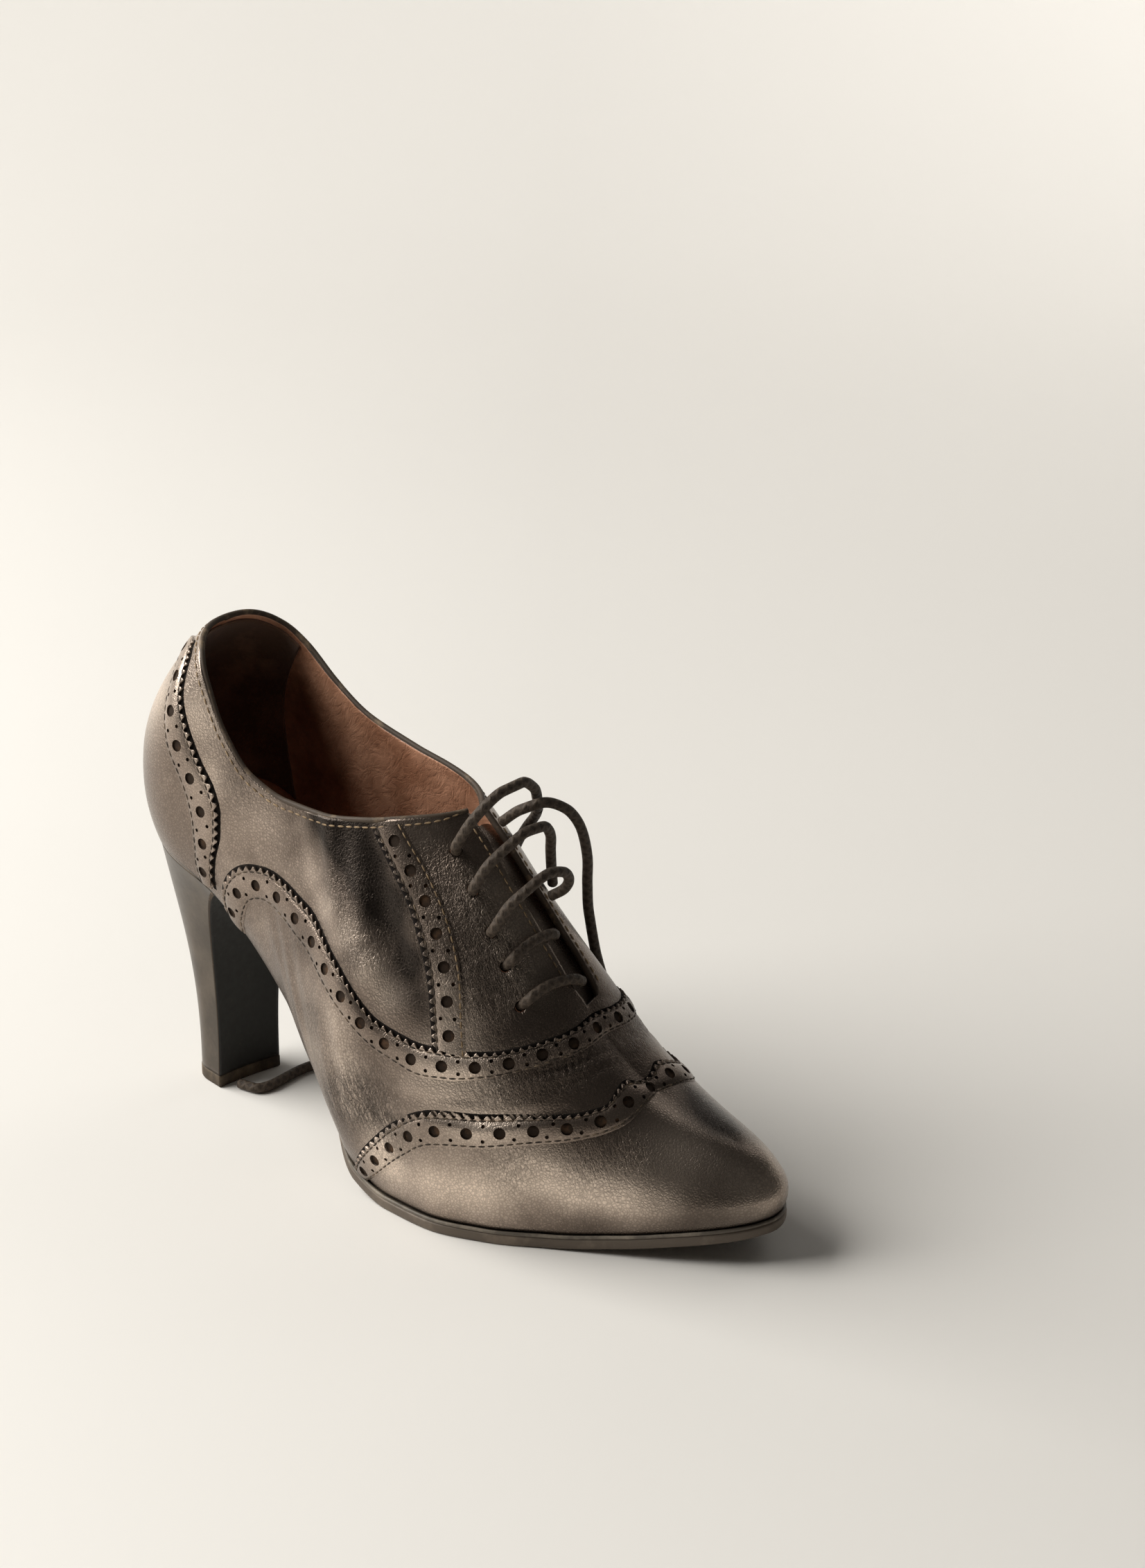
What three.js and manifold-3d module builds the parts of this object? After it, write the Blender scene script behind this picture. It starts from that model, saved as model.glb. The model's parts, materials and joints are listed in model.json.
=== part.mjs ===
// A right-foot high-heeled brogue oxford, worked out from one function of the last.
// Millimetres, +Z up, +X towards the toe, +Y towards the inner (medial) side of the foot.
import * as THREE from 'three';
import { mergeVertices } from 'three/addons/utils/BufferGeometryUtils.js';
import Module from 'manifold-3d';

// Driving sizes of the last
const LENGTH = 220;
const BALL_WIDTH = 70;
const SEAT_HEIGHT = 84;
const INSTEP_HEIGHT = 120;
const SEAT_BACK = 2.5;
const HEEL_ROUND = 27;
const TOE_ROUND = 45;
const COLLAR_LEAN = 15;
const LEAN_FROM = 112;
const LEAN_FULL = 154;
const LEAN_REACH = 70;

// Leather, gaps and collar
const UPPER_WALL = 1.8;
const SEAM_GAP = 0.3;
const BAND_GAP = 0.35;
const BAND_THICKNESS = 0.8;
const TONGUE_WALL = 1.6;
const TONGUE_GAP = 0.6;
const TONGUE_HALF_WIDTH = 17;
const COLLAR_HEIGHT = 153;
const THROAT_GAP = 9;
const THROAT_SHIFT = 3.5;
const EYELET_HOLE = 3.6;

// Sole, insole and heel
const SOLE_THICKNESS = 3.8;
const SOLE_EDGE = 1.2;
const WAIST_TUCK = 2.2;
const SOLE_BACK = 39;
const INSOLE_THICKNESS = 2.2;
const INSOLE_GAP = 0.4;
const HEEL_BREAST = 38;
const TIP_BACK = 12.5;
const TIP_BREAST = 28.5;
const TIP_HALF_WIDTH = 11.4;
const TIP_HEIGHT = 3.8;
const TIP_TWIST = 12;
const HEEL_FLARE = 2.3;
const BREAST_FLARE = 4;

const LACE_DIAMETER = 2.8;
const LACE_SIDES = 8;
const LACE_LIFT = 0.5;

// Stations along the last. at is a share of LENGTH, centre, lateral, medial and bulge are shares of
// BALL_WIDTH, foot is a share of SEAT_HEIGHT and ridge a share of INSTEP_HEIGHT. The two square
// columns are the exponents of the section's curve on each side.
const STATION_COLUMNS = ['at', 'centre', 'lateral', 'medial', 'foot', 'ridge', 'bulge',
  'squareLateral', 'squareMedial'];
const STATIONS = [
  [0.00, 0.000, 0.357, 0.357, 1.000, 1.483, 0.071, 2.0, 2.0],
  [0.06, 0.000, 0.357, 0.357, 0.988, 1.483, 0.080, 2.1, 2.1],
  [0.14, 0.000, 0.352, 0.344, 0.929, 1.483, 0.091, 2.2, 2.25],
  [0.22, -0.005, 0.331, 0.297, 0.773, 1.463, 0.103, 2.35, 2.5],
  [0.30, -0.014, 0.314, 0.264, 0.529, 1.433, 0.114, 2.45, 3.0],
  [0.38, -0.033, 0.351, 0.284, 0.259, 1.341, 0.126, 2.45, 3.8],
  [0.46, -0.052, 0.442, 0.357, 0.089, 1.173, 0.112, 2.25, 3.6],
  [0.53, -0.061, 0.475, 0.441, 0.048, 1.025, 0.068, 2.1, 2.7],
  [0.60, -0.062, 0.493, 0.500, 0.048, 0.892, 0.051, 2.0, 2.15],
  [0.68, -0.025, 0.466, 0.507, 0.048, 0.677, 0.039, 2.1, 2.1],
  [0.76, 0.024, 0.390, 0.475, 0.052, 0.463, 0.030, 2.15, 2.15],
  [0.84, 0.075, 0.328, 0.403, 0.076, 0.338, 0.029, 2.25, 2.25],
  [0.92, 0.114, 0.298, 0.354, 0.115, 0.285, 0.029, 2.3, 2.3],
  [1.00, 0.143, 0.286, 0.329, 0.155, 0.242, 0.029, 2.4, 2.4],
];
const RIDGE_START = 0.15;
const RIDGE_END = 0.93;

// Topline seen from the side. at is a share of LENGTH, heights are shares of COLLAR_HEIGHT.
const COLLAR_COLUMNS = ['at', 'lateral', 'medial'];
const COLLAR = [
  [0.000, 1.000, 1.000],
  [0.105, 0.995, 0.995],
  [0.135, 0.975, 0.960],
  [0.160, 0.930, 0.930],
  [0.200, 0.838, 0.890],
  [0.250, 0.765, 0.848],
  [0.310, 0.735, 0.815],
  [0.375, 0.732, 0.795],
  [0.440, 0.746, 0.782],
  [0.500, 0.762, 0.768],
  [0.560, 0.772, 0.760],
];
const FACING_TOP = { lateral: 0.565, medial: 0.545 };
const THROAT_END = 0.728;
const TONGUE_TOP = 0.542;
const TONGUE_END = 0.755;

// Lace holes: place along the last on each facing, and girth share up the lateral wall.
const EYELETS = [
  { lateral: 0.524, medial: 0.534, girth: 0.82 },
  { lateral: 0.551, medial: 0.561, girth: 0.78 },
  { lateral: 0.577, medial: 0.589, girth: 0.75 },
  { lateral: 0.597, medial: 0.612, girth: 0.72 },
  { lateral: 0.619, medial: 0.624, girth: 0.67 },
];

// Bands: each row gives the two edges as place along the last and girth share, 0 at the sole edge
// and 1 on the ridge.
const BAND_COLUMNS = ['upAt', 'upGirth', 'lowAt', 'lowGirth'];
const VAMP_BAND = [
  [0.287, 0.010, 0.312, 0.010],
  [0.296, 0.060, 0.320, 0.045],
  [0.314, 0.130, 0.330, 0.085],
  [0.338, 0.205, 0.344, 0.145],
  [0.362, 0.260, 0.364, 0.200],
  [0.403, 0.330, 0.404, 0.265],
  [0.432, 0.358, 0.433, 0.290],
  [0.461, 0.362, 0.462, 0.295],
  [0.506, 0.335, 0.510, 0.280],
  [0.539, 0.345, 0.543, 0.285],
  [0.574, 0.390, 0.579, 0.330],
  [0.616, 0.500, 0.623, 0.445],
  [0.641, 0.630, 0.653, 0.595],
  [0.657, 0.770, 0.672, 0.750],
  [0.663, 0.890, 0.680, 0.880],
  [0.664, 1.000, 0.682, 1.000],
];
const TOE_BAND = [
  [0.472, 0.005, 0.490, 0.005],
  [0.503, 0.095, 0.523, 0.070],
  [0.533, 0.170, 0.545, 0.115],
  [0.561, 0.230, 0.566, 0.160],
  [0.613, 0.310, 0.616, 0.225],
  [0.660, 0.420, 0.653, 0.300],
  [0.695, 0.540, 0.691, 0.400],
  [0.713, 0.650, 0.718, 0.500],
  [0.717, 0.750, 0.739, 0.630],
  [0.721, 0.850, 0.752, 0.800],
  [0.738, 1.000, 0.761, 1.000],
];
const COUNTER_BAND = [
  [0.105, 0.490, 0.010, 0.440],
  [0.150, 0.470, 0.090, 0.425],
  [0.176, 0.440, 0.145, 0.395],
  [0.203, 0.395, 0.175, 0.345],
  [0.247, 0.330, 0.214, 0.270],
  [0.273, 0.297, 0.243, 0.225],
  [0.294, 0.275, 0.258, 0.190],
  [0.306, 0.240, 0.264, 0.150],
  [0.307, 0.200, 0.263, 0.110],
  [0.297, 0.130, 0.254, 0.050],
  [0.281, 0.040, 0.250, 0.010],
];
const FACING_BAND = [
  [0.477, 0.720, 0.457, 0.630],
  [0.508, 0.700, 0.482, 0.615],
  [0.534, 0.665, 0.506, 0.590],
  [0.555, 0.620, 0.527, 0.540],
  [0.571, 0.560, 0.544, 0.480],
  [0.583, 0.470, 0.556, 0.410],
];

// Lace bars over the facings, from the lateral to the medial side, as chosen by hand.
// The top three stand loose above the throat.
const LACE_BARS = [
  [[124.8, -15, 109.7], [126.8, -17.3, 112.6], [130, -17, 118], [133.5, -13, 124.5], [135.5, -7, 128],
    [136.5, 0, 128.5], [136, 6, 125], [133.5, 11, 119], [130.5, 15, 114]],
  [[132, -16.4, 99.7], [134.6, -19, 102.5], [138, -17.5, 109], [141.5, -12, 114.5], [143.5, -6, 117.5],
    [144, 0, 117], [142.5, 5.5, 112.5], [139.5, 9.5, 105], [137, 13, 97.5], [134.9, 16.2, 90.8]],
  [[139.7, -17.7, 89.3], [142.2, -19.6, 92], [146, -18, 99], [149.5, -13, 104], [151, -6, 106.5],
    [151.5, 0, 105], [150.5, 4, 101], [147.5, 5.5, 96.5], [143.5, 4.5, 93.5]],
];
// The lower two run from their lateral hole over the facing and down between the facings.
const LOW_BARS = [
  { hole: 3, at: 0.607, girth: 1.045 },
  { hole: 4, at: 0.641, girth: 1.045 },
];
// The free ends. One carries on from the top bar, hangs over the medial quarter and passes under the
// arch. The other leaves the top of the throat and lies down beside the shoe.
const LACE_END_FLOOR = [
  [130.3, 15.3, 113.6], [127, 18, 109.3], [122.5, 19.8, 104], [118.1, 21.8, 98.2], [112.5, 25.5, 90.6],
  [106.3, 28.3, 81.3], [99.3, 30, 70.7], [93.1, 30.8, 58.5], [88, 31.5, 46], [83, 32, 34],
  [77, 32, 21.5], [70, 31, 11], [62, 29.5, 4.2], [54, 27, 1.7], [46.5, 22.5, 1.7], [41.2, 15.5, 1.7],
  [39.6, 6, 1.7], [39.5, -2.5, 1.7], [37.2, -8.3, 1.7], [31, -9.2, 1.7],
];
const LACE_END_MEDIAL = [
  [128, 1.5, 113.5], [134, 3, 118.5], [139, 7.5, 120.5], [142.5, 13, 117.5], [144, 18, 110],
  [143.5, 21.5, 100], [142, 23.5, 90], [140.8, 25.8, 79.5], [141, 28.6, 66.5], [141.6, 32.2, 54.1],
  [141.7, 35.3, 42.8], [140.7, 37.4, 31.3], [138.3, 39, 20.5], [134, 41, 10.5], [127, 43.5, 3.8],
  [118, 45.5, 1.7], [107, 45.5, 1.7], [96, 42.5, 1.7], [87, 37, 1.7], [80, 30, 1.7],
];

const LEATHER = { color: 0x4a443e, roughness: 0.42, metalness: 0.25 };
const BAND_LEATHER = { color: 0x57504a, roughness: 0.4, metalness: 0.3 };
const SOLE_RUBBER = { color: 0x2b2928, roughness: 0.7, metalness: 0 };
const HEEL_COVER = { color: 0x45413c, roughness: 0.35, metalness: 0.05 };
const TIP_RUBBER = { color: 0x5b4c3c, roughness: 0.8, metalness: 0 };
const SOCK_LEATHER = { color: 0x6b4a35, roughness: 0.6, metalness: 0 };
const LACE_COTTON = { color: 0x3a3531, roughness: 0.8, metalness: 0 };

const wasm = await Module();
wasm.setup();

const sequence = (count) => Array.from({ length: count + 1 }, (_, i) => i / count);
const lerp = THREE.MathUtils.lerp;
const clamp = THREE.MathUtils.clamp;

// Monotone cubic through one column of a table, with its first column as the argument.
function column(rows, names, name) {
  const k = names.indexOf(name);
  const xs = rows.map((row) => row[0]);
  const ys = rows.map((row) => row[k]);
  const last = xs.length - 1;
  const step = xs.slice(1).map((x, i) => x - xs[i]);
  const slope = step.map((h, i) => (ys[i + 1] - ys[i]) / h);
  const tangent = xs.map((_, i) => {
    if (i === 0) return slope[0];
    if (i === last) return slope[last - 1];
    if (slope[i - 1] * slope[i] <= 0) return 0;
    const before = 2 * step[i] + step[i - 1];
    const after = step[i] + 2 * step[i - 1];
    return (before + after) / (before / slope[i - 1] + after / slope[i]);
  });
  return (x) => {
    const at = clamp(x, xs[0], xs[last]);
    let i = 0;
    while (i < last - 1 && at > xs[i + 1]) i += 1;
    const t = (at - xs[i]) / step[i];
    return ys[i] * (1 + 2 * t) * (1 - t) ** 2 + step[i] * tangent[i] * t * (1 - t) ** 2
      + ys[i + 1] * t * t * (3 - 2 * t) + step[i] * tangent[i + 1] * t * t * (t - 1);
  };
}

const station = Object.fromEntries(STATION_COLUMNS.slice(1)
  .map((name) => [name, column(STATIONS, STATION_COLUMNS, name)]));
const centreAt = (x) => BALL_WIDTH * station.centre(x / LENGTH);
const footAt = (x) => SEAT_HEIGHT * station.foot(x / LENGTH);

// Half width of the sole line on one side, rounded off at the heel and the toe.
function halfWidth(x, side) {
  const heel = clamp(1 - (x - SEAT_BACK) / HEEL_ROUND, 0, 1);
  const toe = clamp(1 - (LENGTH - x) / TOE_ROUND, 0, 1);
  const width = (side < 0 ? station.lateral : station.medial)(x / LENGTH);
  return BALL_WIDTH * width * Math.sqrt(1 - heel ** 2.2) * Math.sqrt(1 - toe ** 2);
}

// One point of the last. place runs 0 to 1 from heel back to toe tip, girth 0 to 1 from the sole
// line to the ridge and on to 2 down the medial side.
function lastPoint(place, girth) {
  const side = girth > 1 ? 1 : -1;
  const share = girth > 1 ? 2 - girth : girth;
  const travel = (1 - Math.cos(Math.PI * place)) / 2;
  const x = lerp(SEAT_BACK, LENGTH, travel);
  const foot = new THREE.Vector3(x, centreAt(x) + side * halfWidth(x, side), footAt(x));
  const ridgeAt = lerp(RIDGE_START, RIDGE_END, x / LENGTH);
  const ridge = new THREE.Vector3(ridgeAt * LENGTH, centreAt(ridgeAt * LENGTH),
    INSTEP_HEIGHT * station.ridge(ridgeAt));
  const up = Math.sin(share * Math.PI / 2);
  const square = (side < 0 ? station.squareLateral : station.squareMedial)(x / LENGTH);
  const inset = 1 - Math.max(0, 1 - up ** square) ** (1 / square);
  const bulge = BALL_WIDTH * station.bulge(x / LENGTH) * 6.75 * up * (1 - up) ** 2;
  const outX = foot.x - ridge.x;
  const outY = foot.y - ridge.y;
  const reach = Math.hypot(outX, outY) + 1e-9;
  const z = lerp(foot.z, ridge.z, up);
  const point = new THREE.Vector3(foot.x - outX * inset + outX / reach * bulge,
    foot.y - outY * inset + outY / reach * bulge, z);
  const rise = clamp((z - LEAN_FROM) / (LEAN_FULL - LEAN_FROM), 0, 1.6);
  point.x += COLLAR_LEAN * rise ** 2 * clamp(1 - point.x / LEAN_REACH, 0, 1);
  return point;
}

// Outward normal of the last, by differences that wrap round the heel, the toe and the ridge.
function lastNormal(place, girth) {
  const h = 1e-3;
  const wrapped = (p, g) => {
    if (p < 0) return lastPoint(-p, 2 - g);
    if (p > 1) return lastPoint(2 - p, 2 - g);
    return lastPoint(p, g);
  };
  const low = Math.max(girth - h, 0);
  const high = Math.min(girth + h, 2);
  const along = wrapped(place + h, girth).sub(wrapped(place - h, girth));
  const around = lastPoint(place, high).sub(lastPoint(place, low));
  return along.cross(around).normalize();
}

// Point at a distance from the last. The two sides share one line at the heel back and the toe tip.
function offsetPoint(place, girth, offset) {
  const shared = place === 0 || place === 1;
  const folded = shared && girth > 1 ? 2 - girth : girth;
  return lastPoint(place, folded).addScaledVector(lastNormal(place, folded), offset);
}

// Closed mesh from vertices and faces, welded, without the faces that fold to nothing.
function meshOf(points, faces) {
  const raw = new THREE.BufferGeometry();
  raw.setAttribute('position', new THREE.Float32BufferAttribute(points.flatMap((p) => p.toArray()), 3));
  raw.setIndex(faces.flat());
  const welded = mergeVertices(raw, 1e-3);
  const index = Array.from(welded.index.array);
  const kept = [];
  for (let i = 0; i < index.length; i += 3) {
    const [a, b, c] = index.slice(i, i + 3);
    if (a !== b && b !== c && a !== c) kept.push(a, b, c);
  }
  welded.setIndex(kept);
  return welded;
}

function solidOf(geometry) {
  return new wasm.Manifold(new wasm.Mesh({
    numProp: 3,
    vertProperties: new Float32Array(geometry.attributes.position.array),
    triVerts: new Uint32Array(geometry.index.array),
  }));
}

function geometryOf(solid) {
  const mesh = solid.getMesh();
  const geometry = new THREE.BufferGeometry();
  const count = mesh.vertProperties.length / mesh.numProp;
  const position = new Float32Array(count * 3);
  for (let i = 0; i < count; i += 1) {
    for (let k = 0; k < 3; k += 1) position[3 * i + k] = mesh.vertProperties[mesh.numProp * i + k];
  }
  geometry.setAttribute('position', new THREE.BufferAttribute(position, 3));
  geometry.setIndex(Array.from(mesh.triVerts));
  return geometry;
}

// Faces of a closed tube of rings, with every ring a loop of the same count.
function ringFaces(rings, size) {
  const faces = [];
  for (let i = 0; i < rings - 1; i += 1) {
    for (let j = 0; j < size; j += 1) {
      const k = (j + 1) % size;
      const a = i * size;
      faces.push([a + j, a + size + j, a + k], [a + k, a + size + j, a + size + k]);
    }
  }
  return faces;
}

// The whole last as one closed form, grown or shrunk by offset, its underside let down by drop.
function form(offset, drop, places, girths) {
  const points = [];
  const across = [0.25, 0.5, 0.75];
  places.forEach((place) => {
    const ring = [...girths, ...girths.slice(0, -1).reverse().map((g) => 2 - g)]
      .map((g) => offsetPoint(place, g, offset));
    const first = ring[0].clone();
    const final = ring[ring.length - 1].clone();
    if (drop > 0) {
      first.z -= drop;
      final.z -= drop;
      ring.unshift(first.clone());
      ring.push(final.clone());
    }
    const floor = across.map((t) => final.clone().lerp(first, t));
    points.push(...ring, ...floor);
  });
  const size = points.length / places.length;
  return solidOf(outward(meshOf(points, ringFaces(places.length, size))));
}

// Solid over everything above a line seen from the side, on one side of the last.
function aboveTopline(name, side) {
  const height = column(COLLAR, COLLAR_COLUMNS, name);
  const end = FACING_TOP[name];
  const shape = new THREE.Shape();
  shape.moveTo(-40, COLLAR_HEIGHT);
  sequence(26).forEach((t) => shape.lineTo(LENGTH * end * t, COLLAR_HEIGHT * height(end * t)));
  shape.lineTo(LENGTH * (end + 0.03), COLLAR_HEIGHT * 1.6);
  shape.lineTo(-40, COLLAR_HEIGHT * 1.6);
  shape.closePath();
  return extrudedAcross(shape, side < 0 ? -BALL_WIDTH : centreAt(LENGTH * 0.4) - 0.01, BALL_WIDTH
    + (side < 0 ? centreAt(LENGTH * 0.4) : -centreAt(LENGTH * 0.4)));
}

// A side-view shape pushed across the shoe, from y start over depth.
function extrudedAcross(shape, start, depth) {
  const geometry = new THREE.ExtrudeGeometry(shape, { depth, bevelEnabled: false, steps: 1 });
  geometry.rotateX(Math.PI / 2);
  geometry.translate(0, start + depth, 0);
  return solidOf(plain(geometry));
}

function plain(geometry) {
  geometry.deleteAttribute('normal');
  geometry.deleteAttribute('uv');
  return mergeVertices(geometry, 1e-4);
}

const throatCentre = (x) => centreAt(x) + THROAT_SHIFT;

// Plan-view cutter for the throat, with a round lower end.
function throatCutter(halfGap, from, to) {
  const shape = new THREE.Shape();
  const start = from * LENGTH;
  const end = to * LENGTH - halfGap;
  const steps = sequence(8);
  shape.moveTo(start, throatCentre(start) - halfGap);
  steps.forEach((t) => shape.lineTo(lerp(start, end, t), throatCentre(lerp(start, end, t)) - halfGap));
  sequence(8).slice(1, -1).forEach((t) => {
    const turn = -Math.PI / 2 + Math.PI * t;
    shape.lineTo(end + halfGap * Math.cos(turn), throatCentre(end) + halfGap * Math.sin(turn));
  });
  steps.slice().reverse().forEach((t) => shape.lineTo(lerp(start, end, t),
    throatCentre(lerp(start, end, t)) + halfGap));
  shape.closePath();
  const geometry = new THREE.ExtrudeGeometry(shape, { depth: COLLAR_HEIGHT, bevelEnabled: false });
  geometry.translate(0, 0, SEAT_HEIGHT * 0.45);
  return solidOf(plain(geometry));
}

// Lace hole through the wall, square to it, and its twin on the other facing.
function eyeletFrames() {
  const frames = [];
  EYELETS.forEach(({ lateral, medial, girth }) => {
    const point = lastPoint(lateral, girth);
    frames.push({ point, normal: lastNormal(lateral, girth) });
    const target = 2 * throatCentre(point.x) - point.y;
    let low = 1;
    let high = 1.9;
    for (let i = 0; i < 30; i += 1) {
      const middle = (low + high) / 2;
      if (lastPoint(medial, middle).y < target) low = middle;
      else high = middle;
    }
    frames.push({ point: lastPoint(medial, low), normal: lastNormal(medial, low) });
  });
  return frames;
}

function eyeletCutter({ point, normal }) {
  const geometry = new THREE.CylinderGeometry(EYELET_HOLE / 2, EYELET_HOLE / 2, 4 * UPPER_WALL, 8);
  geometry.applyQuaternion(new THREE.Quaternion().setFromUnitVectors(new THREE.Vector3(0, 1, 0), normal));
  geometry.translate(point.x, point.y, point.z);
  return solidOf(plain(geometry));
}

// Columns crowd towards the heel and toe by themselves, because travel is a cosine.
const WALL_PLACES = sequence(42);
const WALL_GIRTHS = [0, 0.06, 0.13, 0.21, 0.3, 0.39, 0.48, 0.57, 0.66, 0.75, 0.84, 0.92, 1];

function makeUpper() {
  const outer = form(0, 0, WALL_PLACES, WALL_GIRTHS);
  const inner = form(-UPPER_WALL, 3 * UPPER_WALL, WALL_PLACES, WALL_GIRTHS);
  let shell = outer.subtract(inner);
  shell = shell.subtract(aboveTopline('lateral', -1)).subtract(aboveTopline('medial', 1));
  shell = shell.subtract(throatCutter(THROAT_GAP / 2, FACING_TOP.lateral - 0.09, THROAT_END));
  eyeletFrames().forEach((frame) => { shell = shell.subtract(eyeletCutter(frame)); });
  return geometryOf(shell.simplify(0.02));
}

function makeTongue() {
  const top = -(UPPER_WALL + TONGUE_GAP);
  const leaf = form(top, 0, WALL_PLACES, WALL_GIRTHS)
    .subtract(form(top - TONGUE_WALL, 3 * TONGUE_WALL, WALL_PLACES, WALL_GIRTHS));
  return geometryOf(leaf.intersect(throatCutter(TONGUE_HALF_WIDTH, TONGUE_TOP, TONGUE_END)));
}

// A strip of leather on the outside of the upper, between two forms of the last.
function makeBand(rows, mirrored, steps, across = 2) {
  const all = mirrored
    ? [...rows, ...rows.slice(0, -1).reverse().map(([ua, ug, la, lg]) => [ua, 2 - ug, la, 2 - lg])]
    : rows;
  const keyed = all.map((row, i) => [i / (all.length - 1), ...row]);
  const names = ['t', ...BAND_COLUMNS];
  const along = Object.fromEntries(BAND_COLUMNS.map((name) => [name, column(keyed, names, name)]));
  const widths = sequence(across);
  const points = [];
  sequence(steps).forEach((t) => {
    const inner = [];
    const outer = [];
    widths.forEach((w) => {
      const place = lerp(along.upAt(t), along.lowAt(t), w);
      const girth = lerp(along.upGirth(t), along.lowGirth(t), w);
      inner.push(offsetPoint(place, girth, BAND_GAP));
      outer.push(offsetPoint(place, girth, BAND_GAP + BAND_THICKNESS));
    });
    points.push(...inner, ...outer.reverse());
  });
  const size = 2 * widths.length;
  return cappedStrip(points, steps + 1, size, widths.length);
}

// Closes the two ends of a strip whose rings run inner row then outer row back.
function cappedStrip(points, rings, size, width) {
  const faces = ringFaces(rings, size);
  [0, rings - 1].forEach((ring) => {
    for (let j = 0; j < width - 1; j += 1) {
      const a = ring * size + j;
      const b = a + 1;
      const c = ring * size + size - 1 - j;
      const d = c - 1;
      if (ring === 0) faces.push([a, b, d], [a, d, c]);
      else faces.push([a, d, b], [a, c, d]);
    }
  });
  return outward(meshOf(points, faces));
}

// Turns the faces of a closed mesh round if they point in.
function outward(geometry) {
  const position = geometry.attributes.position;
  const index = Array.from(geometry.index.array);
  const corner = (i) => new THREE.Vector3().fromBufferAttribute(position, index[i]);
  let volume = 0;
  for (let i = 0; i < index.length; i += 3) volume += corner(i).dot(corner(i + 1).cross(corner(i + 2)));
  if (volume < 0) {
    for (let i = 0; i < index.length; i += 3) [index[i + 1], index[i + 2]] = [index[i + 2], index[i + 1]];
    geometry.setIndex(index);
  }
  return geometry;
}

const medialRows = (rows) => rows.map(([ua, ug, la, lg]) => [ua, 2 - ug, la, 2 - lg]);

// Point of the sole line on one side, moved outward in plan by edge.
function outlinePoint(place, side, edge) {
  const h = 1e-3;
  const at = (p) => {
    const turned = p < 0 || p > 1;
    const folded = p < 0 ? -p : p > 1 ? 2 - p : p;
    const x = lerp(SEAT_BACK, LENGTH, (1 - Math.cos(Math.PI * folded)) / 2);
    const face = turned ? -side : side;
    return new THREE.Vector2(x, centreAt(x) + face * halfWidth(x, face));
  };
  const along = at(place + h).sub(at(place - h)).normalize();
  return at(place).add(new THREE.Vector2(-side * along.y, side * along.x).multiplyScalar(edge));
}

const placeAt = (x) => Math.acos(1 - 2 * (x - SEAT_BACK) / (LENGTH - SEAT_BACK)) / Math.PI;

// Slab that follows the underside of the last from one place to the toe, its outline moved by
// edge(x), its top at top(x) and its base at base(x).
function makeSlab(from, edge, top, base, steps) {
  const points = [];
  const across = sequence(4);
  sequence(steps).forEach((t) => {
    const place = lerp(from, 1, t);
    const x = lerp(SEAT_BACK, LENGTH, (1 - Math.cos(Math.PI * place)) / 2);
    const [lateral, medial] = [-1, 1].map((side) => outlinePoint(place, side, edge(x)));
    const row = (height) => across.map((w) => lateral.clone().lerp(medial, w))
      .map((p) => new THREE.Vector3(p.x, p.y, height(p.x)));
    points.push(...row(base), ...row(top).reverse());
  });
  return cappedStrip(points, steps + 1, 2 * across.length, across.length);
}

// Share of the way from the tucked waist to the full forepart edge.
const forepartShare = (x) => THREE.MathUtils.smoothstep(x / LENGTH, 0.34, 0.46);

function makeOutsole() {
  const edge = (x) => lerp(-WAIST_TUCK, SOLE_EDGE, forepartShare(x));
  const top = (x) => footAt(x) - SEAM_GAP;
  const base = (x) => Math.max(0, top(x) - SOLE_THICKNESS * lerp(0.65, 1, forepartShare(x)));
  return makeSlab(placeAt(SOLE_BACK), edge, top, base, 38);
}

function makeInsole() {
  const top = (x) => footAt(x) + INSOLE_THICKNESS;
  return makeSlab(0, () => -(UPPER_WALL + INSOLE_GAP), top, footAt, 36);
}

// Half outline of the heel: the back as a half oval, then the breast, in pairs across the shoe.
function heelOutline(height) {
  const flare = height ** HEEL_FLARE;
  const breastFlare = height ** BREAST_FLARE;
  const twist = THREE.MathUtils.degToRad(TIP_TWIST) * (1 - height);
  const back = lerp(TIP_BACK, SEAT_BACK + SEAM_GAP, flare);
  const breast = lerp(TIP_BREAST, HEEL_BREAST, breastFlare);
  const middle = (back + breast) / 2;
  const ring = [];
  const arc = 12;
  const place = (x, y) => {
    const dx = x - middle;
    return new THREE.Vector3(middle + dx * Math.cos(twist) - y * -Math.sin(twist), y * Math.cos(twist)
      - dx * Math.sin(twist), 0);
  };
  const half = (x, share, side) => {
    const tip = TIP_HALF_WIDTH * Math.sqrt(1 - (1 - share) ** 2.4);
    return side * lerp(tip, halfWidth(x, side) - SEAM_GAP, flare);
  };
  for (let k = arc; k >= 0; k -= 1) {
    const share = (1 - Math.cos(Math.PI / 2 * k / arc));
    const x = lerp(back, breast, share);
    ring.push(place(x, k === 0 ? 0 : half(x, Math.min(1, 1.6 * share), 1)));
  }
  for (let k = 1; k <= arc; k += 1) {
    const share = (1 - Math.cos(Math.PI / 2 * k / arc));
    const x = lerp(back, breast, share);
    ring.push(place(x, half(x, Math.min(1, 1.6 * share), -1)));
  }
  return ring;
}

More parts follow.
